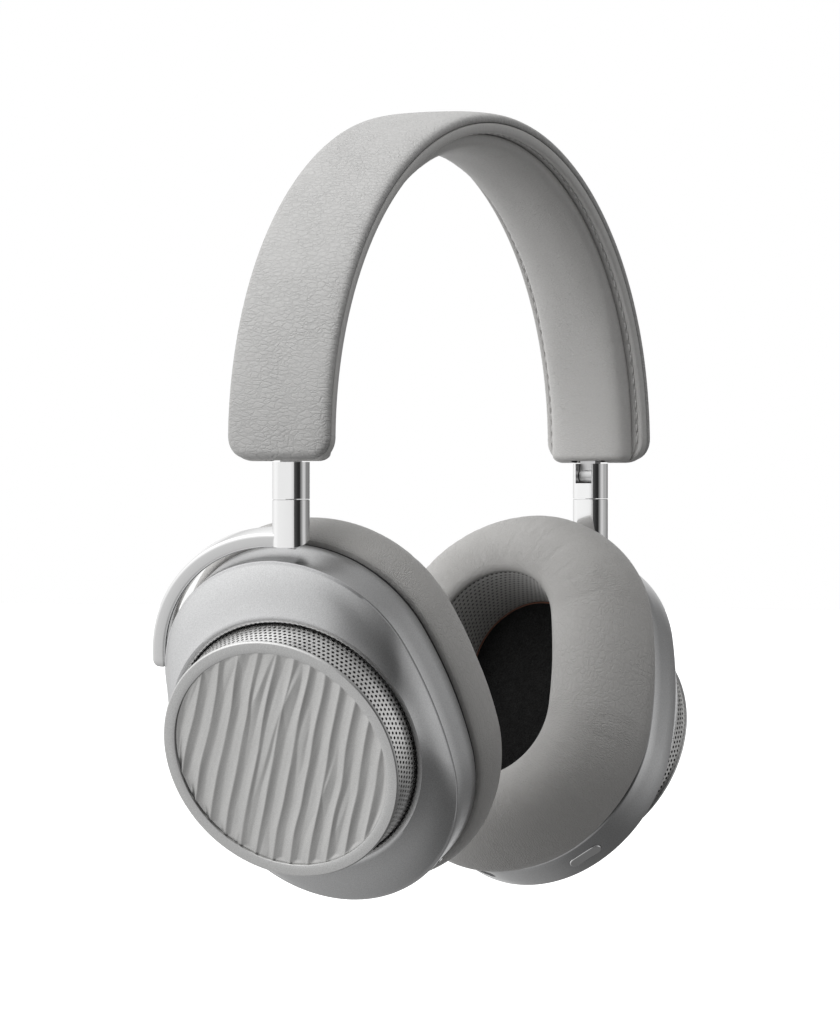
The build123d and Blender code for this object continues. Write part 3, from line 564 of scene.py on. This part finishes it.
cover_half = spline([(0.0, 77.72), (0.5, 77.72), (0.93, 77.72), (0.975, 77.76), (0.995, 78.0),
                     (1.0, 78.5), (0.992, 79.05), (0.965, 79.55), (0.91, 79.93), (0.80, 80.22),
                     (0.60, 80.47), (0.30, 80.65), (0.0, 80.70)], 4)
cover_profile = both_sides(cover_half[1:-1])
base_half = spline([(0.0, 77.62), (0.5, 77.62), (0.93, 77.62), (0.972, 77.58), (0.992, 77.36),
                    (1.0, 76.9), (1.0, 76.2), (0.99, 75.55), (0.965, 75.2), (0.93, 75.12),
                    (0.905, 75.16), (0.89, 75.36), (0.877, 75.46), (0.864, 75.36), (0.849, 75.16),
                    (0.82, 75.12), (0.5, 75.12), (0.0, 75.12)], 4)
base_profile = both_sides(base_half[1:-1])
cushion_half = spline([(0.0, 75.0), (0.5, 75.0), (0.9, 75.0), (0.975, 74.9), (1.0, 74.4),
                       (0.992, 73.4), (0.955, 72.3), (0.86, 71.4), (0.66, 70.95), (0.40, 70.78),
                       (0.2, 70.73), (0.0, 70.72)], 4)
cushion_profile = both_sides(cushion_half[1:-1])


def cover_relief(travelled, y, share, radius):
    """Slight unevenness of the stretched leather on the outside of the band."""
    if radius < 78.6:
        return 0.0
    return 0.10 * noise.noise(Vector((travelled * 0.05, y * 0.12, 3.1))) - 0.05


def cushion_relief(travelled, y, share, radius):
    """Soft hollows of the foam, and puckers next to the stitch lines."""
    if radius > 74.0:
        return 0.0
    swell = 0.16 * noise.noise(Vector((travelled * 0.035, y * 0.08, 7.7)))
    pucker = 0.10 * noise.noise(Vector((travelled * 0.42, y * 0.10, 1.3))) * abs(share)**3
    length = pi * BASE_RADIUS + 2 * BASE_TAIL
    away = ease((min(travelled, length - travelled) - 26.0) / 25.0)
    pillow = 1.7 * away * (abs(share)**2.5 - 0.8 * abs(share)**9)
    return swell + pucker + pillow - 0.5 * (1 - abs(share)**6)


band_piece("band_cover_leather", cover_profile, COVER_TAIL, BAND_HALF_WIDTH, BAND_CORNER, BASE_RADIUS,
           2.0, COVER, ["band_cover"], cover_relief)
base_piece = band_piece(
    "band_base_leather", base_profile, BASE_TAIL, BAND_HALF_WIDTH, BAND_CORNER, 76.4, 1.6,
    LINING_LEATHER, ["band_base"])
cushion_piece = band_piece(
    "band_cushion_leather", cushion_profile, BASE_TAIL, CUSHION_HALF_WIDTH, CUSHION_CORNER, 74.4, 1.5,
    LINING_LEATHER, ["band_cushion"], cushion_relief)

# room in the underside of the band, as spans in x, y and z, where the fork swings when it folds
FOLD_POCKET = ((71.2, 76.9), (-4.75, 4.75), (-76.5, -73.7))
BAND_SHARP = 60


def box(spans):
    """Points and faces of a box between its spans in x, y and z."""
    points = [(x, y, z) for x in spans[0] for y in spans[1] for z in spans[2]]
    return points, [(0, 1, 3, 2), (4, 6, 7, 5), (0, 4, 5, 1), (2, 3, 7, 6), (0, 2, 6, 4), (1, 5, 7, 3)]


for band_part in (base_piece, cushion_piece):
    for band_side in SIDES:
        carve(band_part, *box(FOLD_POCKET), band_side, BAND_SHARP)

STITCH_PITCH = 2.9
STITCH_LENGTH = 2.0
STITCH_RADIUS = 0.27
STITCH_Y = 12.1
STITCH_SINK = 0.16
STITCH_SLANT = 0.05
STITCH_FLATNESS = 0.8
STITCH_SIDES = 8
# rings of a stitch, as (place along it from -1 to 1, share of its radius)
STITCH_RINGS = ((-1.0, 0.35), (-0.8, 0.85), (-0.3, 1.0), (0.3, 1.0), (0.8, 0.85), (1.0, 0.35))


def stitches():
    """Both stitch lines of the band's inner leather, each stitch a small capsule."""
    points, faces = [], []
    radius = CUSHION_RADIUS + 0.02
    count = int(pi * radius / STITCH_PITCH)
    last_ring = (len(STITCH_RINGS) - 1) * STITCH_SIDES
    for y in (-STITCH_Y, STITCH_Y):
        for i in range(count):
            middle = pi * (i + 0.5) / count
            first = len(points)
            for where, size in STITCH_RINGS:
                angle = middle + where * STITCH_LENGTH / 2 / radius
                sink = STITCH_SINK * where**4
                for k in range(STITCH_SIDES):
                    turn = tau * k / STITCH_SIDES
                    r = radius + sink + STITCH_RADIUS * size * cos(turn) * STITCH_FLATNESS
                    across = y + STITCH_RADIUS * size * sin(turn) + where * STITCH_SLANT
                    points.append((-cos(angle) * r, across, sin(angle) * r - HEAD_RADIUS))
            faces += [tuple(first + index for index in face)
                      for face in grid_faces(len(STITCH_RINGS), STITCH_SIDES)]
            faces.append(tuple(first + k for k in reversed(range(STITCH_SIDES))))
            faces.append(tuple(first + last_ring + k for k in range(STITCH_SIDES)))
    make_piece("band_stitches", points, faces, THREAD, "headband")


stitches()

# ---------------------------------------------------------------- cup shell, cap and grille
ROUND_STEPS = 288


def cup_rows(stations):
    """Rings of points in the cup's frame; a station gives the ring's point for an angle."""
    points = []
    for station in stations:
        for j in range(ROUND_STEPS):
            points.append(cup_point(*station(tau * j / ROUND_STEPS)))
    return points


def oval_ring(grow, z):
    """Station of the oval, moved out by grow."""
    return lambda angle: (*oval_point(angle, grow), z)


def circle_ring(radius, z):
    """Station of a circle round the cap's centre."""
    return lambda angle: (*circle_point(angle, radius), z)


def cone_ring(share, inset, offset=0.0):
    """Ring on the cone between the oval's front edge and the round lip."""
    def station(angle):
        ox, oy = oval_point(angle, -inset)
        cx, cy = circle_point(angle, LIP_RADIUS - 0.5)
        rise = CONE_RISE * (share + 0.10 * sin(pi * share) * (1 - share))
        return ox + (cx - ox) * share, oy + (cy - oy) * share, rise + offset
    return station


PILL_STEPS = 32
PILL_SPAN = (-4.0, 3.0)


def pill_cutter(angle_degrees, length, width):
    """Solid pill that cuts an opening through the side wall, as points and faces in millimetres."""
    angle = radians(angle_degrees)
    c = HALF_HEIGHT - END_RADIUS
    origin = Vector(cup_point(END_RADIUS * cos(angle), -c + END_RADIUS * sin(angle), -SIDE_DEPTH / 2))
    out = CUP_X * cos(angle) + CUP_Y * sin(angle)
    along = CUP_Y * cos(angle) - CUP_X * sin(angle)
    points = []
    outline = []
    for k in range(PILL_STEPS):
        turn = tau * k / PILL_STEPS
        shift = (length - width) / 2 * (1 if cos(turn) >= 0 else -1)
        outline.append((shift + width / 2 * cos(turn), width / 2 * sin(turn)))
    for depth in PILL_SPAN:
        for u, v in outline:
            points.append(origin + along * u + NORMAL * v + out * depth)
    faces = grid_faces(2, PILL_STEPS)
    faces.append(tuple(reversed(range(PILL_STEPS))))
    faces.append(tuple(range(PILL_STEPS, 2 * PILL_STEPS)))
    return points, faces


CONE_STEPS = 24
SHELL_SHARP = 32


def cup_shell(side):
    """Metal shell of a cup with its lip, hollow inside, and the openings in its side wall."""
    stations = [
        oval_ring(-SHELL_WALL, -SIDE_DEPTH), oval_ring(-0.35, -SIDE_DEPTH),
        oval_ring(-0.06, -SIDE_DEPTH + 0.27),
        oval_ring(0, -SIDE_DEPTH + 0.42), oval_ring(0, -7.4), oval_ring(0, -3.6), oval_ring(0, -0.42),
        oval_ring(-0.05, -0.20), oval_ring(-0.20, -0.06), oval_ring(-0.42, 0.0),
    ]
    for i in range(1, CONE_STEPS + 1):
        stations.append(cone_ring(i / CONE_STEPS, 0.42))
    stations += [circle_ring(32.2, CONE_RISE), circle_ring(31.8, CONE_RISE - 0.04),
                 circle_ring(31.4, CONE_RISE - 0.2), circle_ring(31.12, CONE_RISE - 0.5),
                 circle_ring(LIP_INNER_RADIUS, CONE_RISE - 0.9), circle_ring(LIP_INNER_RADIUS, 3.1)]
    for i in range(CONE_STEPS, -1, -1):
        stations.append(cone_ring(i / CONE_STEPS * 0.82, SHELL_WALL, -SHELL_WALL - 0.6))
    stations += [oval_ring(-SHELL_WALL, -3.0), oval_ring(-SHELL_WALL, -7.0)]
    faces = grid_faces(len(stations), ROUND_STEPS, close_rows=True)
    piece = make_piece(f"{side}_cup_shell_metal", cup_rows(stations), faces, CUP_METAL, f"{side}_cup",
                       [f"{side}_cup_shell"], side=side, sharp=SHELL_SHARP)
    carve(piece, *pill_cutter(BUTTON_ANGLE, *BUTTON_SLOT), side, SHELL_SHARP)
    if side == "right":
        carve(piece, *pill_cutter(SOCKET_ANGLE, *SOCKET_SLOT), side, SHELL_SHARP)


def cap_bezel(side):
    """Flat rim of the round cap, with eased edges and a step down to the insert."""
    stations = [
        circle_ring(BEZEL_FLOOR_RADIUS, BEZEL_BACK), circle_ring(30.1, BEZEL_BACK),
        circle_ring(30.33, BEZEL_BACK + 0.06),
        circle_ring(BEZEL_RADIUS, BEZEL_BACK + 0.25), circle_ring(BEZEL_RADIUS, BEZEL_FRONT - 0.42),
        circle_ring(BEZEL_RADIUS - 0.06, BEZEL_FRONT - 0.28), circle_ring(BEZEL_RADIUS - 0.34, BEZEL_FRONT),
        circle_ring(BEZEL_RADIUS - 0.5, BEZEL_FRONT + 0.02), circle_ring(28.6, BEZEL_FRONT + 0.04),
        circle_ring(27.72, BEZEL_FRONT + 0.02), circle_ring(27.5, BEZEL_FRONT - 0.05),
        circle_ring(INSERT_RADIUS, BEZEL_FRONT - 0.2), circle_ring(INSERT_RADIUS, BEZEL_FRONT - 1.3),
        circle_ring(BEZEL_FLOOR_RADIUS, BEZEL_FRONT - 1.3),
    ]
    faces = grid_faces(len(stations), ROUND_STEPS, close_rows=True)
    make_piece(f"{side}_cap_bezel_metal", cup_rows(stations), faces, CAP_METAL, f"{side}_cup",
               [f"{side}_cap_bezel"], side=side, sharp=25)


RIDGE_PITCH = 4.3
RIDGE_LEAN = radians(34.5)
RIDGE_HEIGHT = 0.68
RIDGE_RISE = 0.45
RIM_FADE = 1.2
RIM_HEIGHT = 0.3
INSERT_BASE = BEZEL_FRONT - 1.12
INSERT_GAP = 0.04
INSERT_STEPS = 240


def along_ridges(x, y, lean):
    """A place in the insert, turned by the ridges' lean, as (across them, along them)."""
    return x * cos(lean) + y * sin(lean), -x * sin(lean) + y * cos(lean)


def ridge_set(x, y, lean, pitch, drift, seed):
    """Height from 0 to 1 of one family of wandering ridges with sharp crests."""
    across, along = along_ridges(x, y, lean)
    wander = drift * noise.noise(Vector((across * 0.05, along * 0.055, seed)))
    wander += 0.3 * drift * noise.noise(Vector((across * 0.16, along * 0.11, seed + 5.0)))
    phase = (across / pitch + wander) % 1.0
    if phase < RIDGE_RISE:
        return (phase / RIDGE_RISE)**1.5
    return ((1.0 - phase) / (1.0 - RIDGE_RISE))**1.4


def ridge_height(x, y):
    """Height of the cap's relief: ridges, with thin side ridges that run into them, and a raised rim."""
    main = ridge_set(x, y, RIDGE_LEAN, RIDGE_PITCH, 0.22, 2.4)
    thin = ridge_set(x, y, RIDGE_LEAN + radians(9.0), 1.7 * RIDGE_PITCH, 0.25, 9.7)
    across, along = along_ridges(x, y, RIDGE_LEAN)
    share = ease(2.0 * noise.noise(Vector((across * 0.07, along * 0.035, 3.3))) + 0.55)
    tall = 0.88 + 0.25 * noise.noise(Vector((x * 0.08, y * 0.08, 5.5)))
    high = max(main, 0.95 * thin * share)
    fine = ridge_set(x, y, RIDGE_LEAN + radians(4.0), 0.5 * RIDGE_PITCH, 0.4, 14.2)
    rim = ease((hypot(x, y) - INSERT_RADIUS + RIM_FADE) / RIM_FADE)
    return max(RIDGE_HEIGHT * tall * (0.95 * high + 0.05 * fine), RIM_HEIGHT * rim)


def disc_grid(count):
    """Even grid over a round disc, as (share of the radius, angle) for each of its points."""
    cells = []
    for i in range(count + 1):
        for j in range(count + 1):
            a, b = 2 * j / count - 1, 2 * i / count - 1
            if a == 0 and b == 0:
                cells.append((0.0, 0.0))
            elif abs(a) > abs(b):
                cells.append((a, pi / 4 * b / a))
            else:
                cells.append((b, pi / 2 - pi / 4 * a / b))
    return cells


def cap_insert(side):
    """Ridged disc inside the bezel."""
    points = []
    for share, angle in disc_grid(INSERT_STEPS):
        radius = (INSERT_RADIUS - INSERT_GAP) * share
        x, y = radius * cos(angle), radius * sin(angle)
        points.append(cup_point(CAP_SHIFT + x, y, INSERT_BASE + ridge_height(x, y)))
    faces = grid_faces(INSERT_STEPS + 1, INSERT_STEPS + 1, close_cols=False)
    make_piece(f"{side}_cap_insert_ridges", points, faces, INSERT_METAL, f"{side}_cup",
               [f"{side}_cap_insert"], side=side)


HOLE_COUNT = 150
HOLE_ROWS = 7
HOLE_RADIUS = 0.375
HOLE_CORNERS = 16
GRILLE_SHEET = 0.45
GRILLE_PLAIN_TOP = 0.25
GRILLE_FOOT_GAP = 0.05
GRILLE_CLOTH_SINK = 0.75


def grille_ring(side):
    """Perforated ring, each hole cut in its own square of the sheet, rows set half a pitch apart."""
    pitch_angle = tau / HOLE_COUNT
    pitch = GRILLE_RADIUS * pitch_angle
    top = BEZEL_BACK - GRILLE_PLAIN_TOP
    points, faces = [], []

    def add(angle, z, sunk=0.0):
        """Adds a point of the tapered ring and gives its number."""
        share = (BEZEL_BACK - z) / (BEZEL_BACK - CARRIER_FRONT)
        radius = GRILLE_RADIUS + (GRILLE_FOOT_RADIUS - GRILLE_RADIUS) * share - sunk
        points.append(cup_point(*circle_point(angle, radius), z))
        return len(points) - 1

    for row in range(HOLE_ROWS):
        centre_z = top - pitch * (row + 0.5)
        for i in range(HOLE_COUNT):
            centre = pitch_angle * (i + 0.5 * (row % 2))
            outer, rim, deep = [], [], []
            for k in range(HOLE_CORNERS):
                turn = tau * k / HOLE_CORNERS
                c, s = cos(turn), sin(turn)
                reach = pitch / 2 / max(abs(c), abs(s))
                outer.append(add(centre + c * reach / GRILLE_RADIUS, centre_z + s * reach))
                rim.append(add(centre + c * HOLE_RADIUS / GRILLE_RADIUS, centre_z + s * HOLE_RADIUS))
                deep.append(add(centre + c * HOLE_RADIUS / GRILLE_RADIUS, centre_z + s * HOLE_RADIUS,
                                GRILLE_SHEET))
            for k in range(HOLE_CORNERS):
                n = (k + 1) % HOLE_CORNERS
                faces.append((outer[k], outer[n], rim[n], rim[k]))
                faces.append((rim[k], rim[n], deep[n], deep[k]))
    plain = (top - pitch * HOLE_ROWS, CARRIER_FRONT + GRILLE_FOOT_GAP)
    for upper, lower in ((BEZEL_BACK, top), plain):
        first = len(points)
        for z in (upper, lower):
            for j in range(ROUND_STEPS):
                add(tau * j / ROUND_STEPS, z)
        faces += [tuple(first + index for index in reversed(face)) for face in grid_faces(2, ROUND_STEPS)]
    make_piece(f"{side}_grille_ring_sheet", points, faces, GRILLE_METAL, f"{side}_cup",
               [f"{side}_grille_ring"], side=side, sharp=40)
    backing = cup_rows([circle_ring(GRILLE_FOOT_RADIUS - GRILLE_CLOTH_SINK, CARRIER_FRONT + GRILLE_FOOT_GAP),
                        circle_ring(GRILLE_RADIUS - GRILLE_CLOTH_SINK, BEZEL_BACK)])
    make_piece(f"{side}_grille_cloth", backing, grid_faces(2, ROUND_STEPS), FELT, f"{side}_cup",
               side=side)


# ---------------------------------------------------------------- ear pads
PAD_STEPS = 400
PAD_MEAN_RADIUS = 38.0
OPENING_MEAN_RADIUS = 22.0
PAD_ROW_LENGTH = 0.6
# the pad's section, as (share of the way from the opening to the outline, depth)
PAD_SECTION = spline([
    (0.12, -29.4), (0.03, -29.9), (0.0, -30.7), (0.012, -31.6), (0.06, -32.35), (0.14, -32.75),
    (0.27, -32.9), (0.42, -32.65), (0.58, -31.7), (0.73, -29.9), (0.86, -27.2), (0.95, -24.0),
    (1.0, -20.6), (1.02, -17.4), (1.0, -14.8), (0.965, -13.2), (0.93, -12.45), (0.88, -12.3),
    (0.6, -12.6)], 7)


def pad_surface(angle, share, z):
    """Point of the pad between its opening (share 0) and its outline (share 1)."""
    ix, iy = opening_point(angle, 0.0)
    ox, oy = oval_point(angle, PAD_BULGE)
    return Vector((ix + (ox - ix) * share, iy + (oy - iy) * share, z))


def ear_pad(side):
    """Leather of an ear pad, slightly swollen and creased by noise, different on each side."""
    rows = len(PAD_SECTION)
    flip = SIDES[side]
    points, uvs = [], []
    for i, (share, z) in enumerate(PAD_SECTION):
        before = PAD_SECTION[max(0, i - 1)]
        after = PAD_SECTION[min(rows - 1, i + 1)]
        for j in range(PAD_STEPS):
            angle = tau * j / PAD_STEPS
            here = pad_surface(angle, share, z)
            run = pad_surface(angle, *after) - pad_surface(angle, *before)
            side_step = pad_surface(angle + 0.01, share, z) - pad_surface(angle - 0.01, share, z)
            normal = side_step.cross(run)
            if normal.length > 1e-6:
                normal.normalize()
            else:
                normal = Vector((0, 0, 0))
            spot = Vector((here.x * flip, here.y, here.z))
            face = ease((share - 0.05) * 5) * ease((1.0 - share) * 4 + 0.3)
            swell = 0.22 * noise.noise(spot * 0.05)
            reach = angle * PAD_MEAN_RADIUS
            creases = noise.noise(Vector((reach * 0.34, share * 2.2 + 9.0 * flip, 4.0)))
            small = noise.noise(Vector((reach * 0.85, share * 4.5, 6.0 + flip)))
            folds = (0.03 * small - 0.07 * ease(creases * 2.2 - 0.15)) * face
            points.append(cup_point(*(here + normal * (swell + folds))))
            uvs.append((reach * MM, i * PAD_ROW_LENGTH * MM))
    faces = grid_faces(rows, PAD_STEPS)
    piece = make_piece(f"{side}_ear_pad_leather", points, faces, PAD_LEATHER, f"{side}_cup",
                       [f"{side}_ear_pad"], uvs, side)


def pad_lining(side):
    """Knitted lining of the pad's opening, from under the leather's edge down to the driver cloth."""
    rings = [(-30.9, 0.35), (-29.9, -0.05), (-27.0, -0.45), (-24.0, -0.75), (-20.0, -0.95),
             (-16.0, -0.9), (-12.9, -0.6)]
    points, uvs = [], []
    for z, grow in rings:
        for j in range(PAD_STEPS):
            angle = tau * j / PAD_STEPS
            points.append(cup_point(*opening_point(angle, grow), z))
            uvs.append((angle * OPENING_MEAN_RADIUS * MM, z * MM))
    faces = [tuple(reversed(face)) for face in grid_faces(len(rings), PAD_STEPS)]
    make_piece(f"{side}_pad_lining_knit", points, faces, KNIT, f"{side}_cup",
               [f"{side}_pad_lining"], uvs, side)


CLOTH_STEPS = 100
CLOTH_INSET = 0.9
CLOTH_DEPTH = -12.95
EDGE_INSET = 1.0
EDGE_DEPTH = -13.15
EDGE_RADIUS = 0.22
EDGE_SIDES = 8


def driver_cloth(side):
    """Felt floor of the ear opening, slightly domed, with the foam's brown edge round it."""
    points = []
    for share, angle in disc_grid(CLOTH_STEPS):
        x, y = opening_point(angle, -CLOTH_INSET)
        sag = 0.7 * (1 - share**2)
        ripple = 0.12 * noise.noise(Vector((x * share * 0.09, y * share * 0.09, 2.0)))
        points.append(cup_point(x * share, y * share, CLOTH_DEPTH - sag - ripple))
    faces = [tuple(reversed(face)) for face in grid_faces(CLOTH_STEPS + 1, CLOTH_STEPS + 1, close_cols=False)]
    make_piece(f"{side}_driver_cloth_felt", points, faces, FELT, f"{side}_cup",
               [f"{side}_driver_cloth"], side=side)
    edge = []
    for k in range(EDGE_SIDES):
        turn = tau * k / EDGE_SIDES
        for j in range(PAD_STEPS):
            x, y = opening_point(tau * j / PAD_STEPS, EDGE_RADIUS * cos(turn) - EDGE_INSET)
            edge.append(cup_point(x, y, EDGE_DEPTH + EDGE_RADIUS * sin(turn)))
    faces = grid_faces(EDGE_SIDES, PAD_STEPS, close_rows=True)
    make_piece(f"{side}_foam_edge", edge, faces, BROWN_EDGE, f"{side}_cup", side=side)


# ---------------------------------------------------------------- yoke
STEM_CORNER_STEPS = 10
ARM_START = radians(113.0)
ARM_END = radians(17.2)
ARM_STEPS = 120
ARM_CORNER = 0.85
ARM_CORNER_STEPS = 7
ARM_TIP = 2.2
ARM_TIP_LEAST = 0.02
ARM_TIP_DEPTH = 0.35


def post():
    """Hollow-ended post of the yoke, cut off on a slant along the cup's side.

    A ring is (inset from the stem's section, corner radius, rise above the slant or None, height).
    """
    slope = -sin(TILT) / cos(TILT)
    rings = [(0.35, STEM_CORNER - 0.2, None, POST_TOP_Z), (0.12, STEM_CORNER, None, POST_TOP_Z),
             (0.0, STEM_CORNER, None, POST_TOP_Z - 0.14), (0.0, STEM_CORNER, None, -88.0),
             (0.0, STEM_CORNER, None, POST_POCKET_Z), (0.0, STEM_CORNER, 0.16, POST_END_Z),
             (0.12, STEM_CORNER, 0.0, POST_END_Z), (0.75, 0.8, 0.0, POST_END_Z),
             (0.9, 0.7, 0.14, POST_END_Z), (0.95, 0.7, None, POST_POCKET_Z),
             (2.6, 0.25, None, POST_POCKET_Z)]
    points = []
    for inset, corner, slant, z in rings:
        outline = rounded_rectangle(STEM_DEPTH / 2 - inset, STEM_WIDTH / 2 - inset, corner,
                                    STEM_CORNER_STEPS)
        for depth, width in outline:
            height = z if slant is None else z + depth * slope + slant
            points.append(Vector((STEM_X, 0, height)) + OUTWARD * depth + ACROSS * width)
    cols = 4 * STEM_CORNER_STEPS
    faces = [tuple(reversed(face)) for face in grid_faces(len(rings), cols)]
    faces.append(tuple(range(cols)))
    faces.append(tuple(reversed(range((len(rings) - 1) * cols, len(rings) * cols))))
    return points, faces


def arm():
    """Arm that runs from the post round the cup's oval to the pivot, with a rounded tip."""
    section = rounded_rectangle(ARM_THICKNESS / 2, ARM_DEPTH / 2, ARM_CORNER, ARM_CORNER_STEPS)
    points = []
    for i in range(ARM_STEPS + 1):
        share = i / ARM_STEPS
        angle = ARM_START + (ARM_END - ARM_START) * share
        left = (1 - share) * (ARM_START - ARM_END) * END_RADIUS
        size = max(ARM_TIP_LEAST, sqrt(1 - (1 - min(1.0, left / ARM_TIP))**2))
        for t, d in section:
            x, y = oval_point(angle, ARM_GAP + ARM_THICKNESS / 2 + t * size, HALF_WIDTH - ARM_RISE,
                              HALF_HEIGHT + ARM_RISE, END_RADIUS - ARM_RISE)
            depth = d * (ARM_TIP_DEPTH + (1 - ARM_TIP_DEPTH) * size)
            points.append(cup_point(x, y, depth - SIDE_DEPTH / 2))
    cols = len(section)
    faces = grid_faces(ARM_STEPS + 1, cols)
    faces.append(tuple(reversed(range(cols))))
    faces.append(tuple(range(ARM_STEPS * cols, (ARM_STEPS + 1) * cols)))
    return points, faces


def yoke(side):
    """Polished post and arm of a yoke."""
    points, faces = post()
    make_piece(f"{side}_yoke_post", points, faces, CHROME, f"{side}_yoke", [f"{side}_yoke"],
               side=side, sharp=30)
    points, faces = arm()
    make_piece(f"{side}_yoke_arm", points, faces, CHROME, f"{side}_yoke",
               side=side, sharp=50)


for side_name in SIDES:
    cup_shell(side_name)
    cap_bezel(side_name)
    cap_insert(side_name)
    grille_ring(side_name)
    ear_pad(side_name)
    pad_lining(side_name)
    driver_cloth(side_name)
    yoke(side_name)
    for kept in ("fold_fork", "slider", "cup_button"):
        smooth_node = frame["nodes"][f"{side_name}_{kept}"]
        bevel = smooth_node.modifiers.new("soft_edges", "BEVEL")
        bevel.width = 0.00012
        bevel.segments = 2
        bevel.limit_method = "ANGLE"
        bevel.angle_limit = radians(40)
        bevel.harden_normals = True

# ---------------------------------------------------------------- studio
scene = bpy.context.scene
# low enough for the cups to clear the floor when the sliders are out and the cups are turned
FLOOR_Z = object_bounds()[0][2] - 0.03
STAGE_HALF = 6.0

paper = Shader("white_paper", (0.93, 0.93, 0.93), 0.9, Emission_Strength=0.55)
paper.base.inputs["Emission Color"].default_value = (1, 1, 1, 1)
floor_mesh = bpy.data.meshes.new("floor")
floor_mesh.from_pydata([(-STAGE_HALF, -STAGE_HALF, FLOOR_Z), (STAGE_HALF, -STAGE_HALF, FLOOR_Z),
                        (STAGE_HALF, STAGE_HALF, FLOOR_Z), (-STAGE_HALF, STAGE_HALF, FLOOR_Z)],
                       [], [(0, 1, 2, 3)])
floor_mesh.materials.append(paper.material)
floor_sheet = bpy.data.objects.new("floor", floor_mesh)
scene.collection.objects.link(floor_sheet)
floor_sheet.visible_glossy = False
floor_sheet.visible_diffuse = False


AIM = Vector((0, 0, -0.08))
CAMERA_TURN = radians(60.0)
TO_RIGHT = Vector((cos(CAMERA_TURN), -sin(CAMERA_TURN), 0))
TO_CAMERA = Vector((-sin(CAMERA_TURN), -cos(CAMERA_TURN), 0))


def from_camera(right, near, up):
    """A place given by how far it is to the camera's right, towards the camera, and up, in metres."""
    return TO_RIGHT * right + TO_CAMERA * near + Vector((0, 0, up))


def soft_light(name, place, size, power):
    """Rectangular light aimed at the headphones, which doesn't show in reflections."""
    data = bpy.data.lights.new(name, "AREA")
    data.shape = "RECTANGLE"
    data.size, data.size_y = size
    data.energy = power
    light = bpy.data.objects.new(name, data)
    light.location = place
    light.rotation_euler = (AIM - place).to_track_quat("-Z", "Y").to_euler()
    light.visible_glossy = False
    scene.collection.objects.link(light)


BRIGHTEST = 3.0


class Surround(NodeTree):
    """World whose brightness depends on direction, like a tent of softboxes with a white back."""

    def __init__(self):
        world = bpy.data.worlds.new("studio")
        scene.world = world
        super().__init__(world)
        self.direction = self.nodes.new("ShaderNodeTexCoord").outputs["Generated"]

    def along(self, axis):
        """How far the direction looked in points along an axis, from -1 to 1."""
        node = self.nodes.new("ShaderNodeVectorMath")
        node.operation = "DOT_PRODUCT"
        self.links.new(self.direction, node.inputs[0])
        node.inputs[1].default_value = tuple(axis)
        return node.outputs["Value"]

    def profile(self, value, stops):
        """Brightness read off (direction, brightness) stops, straight between them."""
        node = self.nodes.new("ShaderNodeFloatCurve")
        curve = node.mapping.curves[0]
        for _ in stops[2:]:
            curve.points.new(0.5, 0.5)
        for point, (where, level) in zip(curve.points, stops):
            point.location = ((where + 1) / 2, level / BRIGHTEST)
            point.handle_type = "VECTOR"
        node.mapping.update()
        spread = self.math("MULTIPLY_ADD", value, 0.5, 0.5)
        self.links.new(spread, node.inputs["Value"])
        return self.math("MULTIPLY", node.outputs["Value"], BRIGHTEST)


surround = Surround()
across_view = surround.profile(surround.along(TO_RIGHT), [
    (-1.0, 1.25), (-0.75, 1.05), (-0.35, 0.78), (0.0, 0.52), (0.25, 0.28), (0.70, 0.18), (0.88, 0.38),
    (1.0, 0.8)])
height = surround.profile(surround.along((0, 0, 1)), [
    (-1.0, 0.60), (-0.5, 0.72), (0.0, 0.95), (0.35, 1.15), (0.7, 1.8), (1.0, 2.0)])
behind = surround.profile(surround.along(TO_CAMERA), [(-1.0, 1.0), (-0.95, 1.0), (-0.82, 0.0), (1.0, 0.0)])
card_sides = surround.profile(surround.along(TO_RIGHT), [
    (-1.0, 1.0), (-0.42, 1.0), (-0.34, 0.12), (0.62, 0.12), (0.74, 1.0), (1.0, 1.0)])
card_height = surround.profile(surround.along((0, 0, 1)), [
    (-1.0, 1.0), (-0.38, 1.0), (-0.22, 0.0), (0.22, 0.0), (0.38, 1.0), (1.0, 1.0)])
card_depth = surround.profile(surround.along(TO_CAMERA), [(-1.0, 1.0), (0.0, 1.0), (0.25, 0.0), (1.0, 0.0)])
card = surround.math("MAXIMUM", card_sides, surround.math("MAXIMUM", card_height, card_depth))
front = surround.math("MULTIPLY", surround.math("MULTIPLY", across_view, height), card)
surround.links.new(surround.math("MAXIMUM", front, behind),
                   surround.nodes["Background"].inputs["Strength"])
surround.nodes["Background"].inputs["Color"].default_value = (1, 1, 1, 1)

soft_light("top_light", from_camera(-0.15, 0.25, 1.0), (0.7, 0.7), 4.5)
soft_light("left_light", from_camera(-0.9, 0.7, 0.35), (0.4, 0.7), 2.5)

camera_data = bpy.data.cameras.new("camera")
camera_data.sensor_fit = "HORIZONTAL"
camera_data.sensor_width = 36.0
camera_data.lens = 353.0
camera_data.clip_end = 50.0
camera = bpy.data.objects.new("camera", camera_data)
camera.location = from_camera(-0.00619, 2.0, -0.0819)
aim = from_camera(-0.00619, 0.0, -0.0865)
camera.rotation_euler = (aim - camera.location).to_track_quat("-Z", "Y").to_euler()
scene.collection.objects.link(camera)
scene.camera = camera
scene.view_settings.view_transform = "Standard"
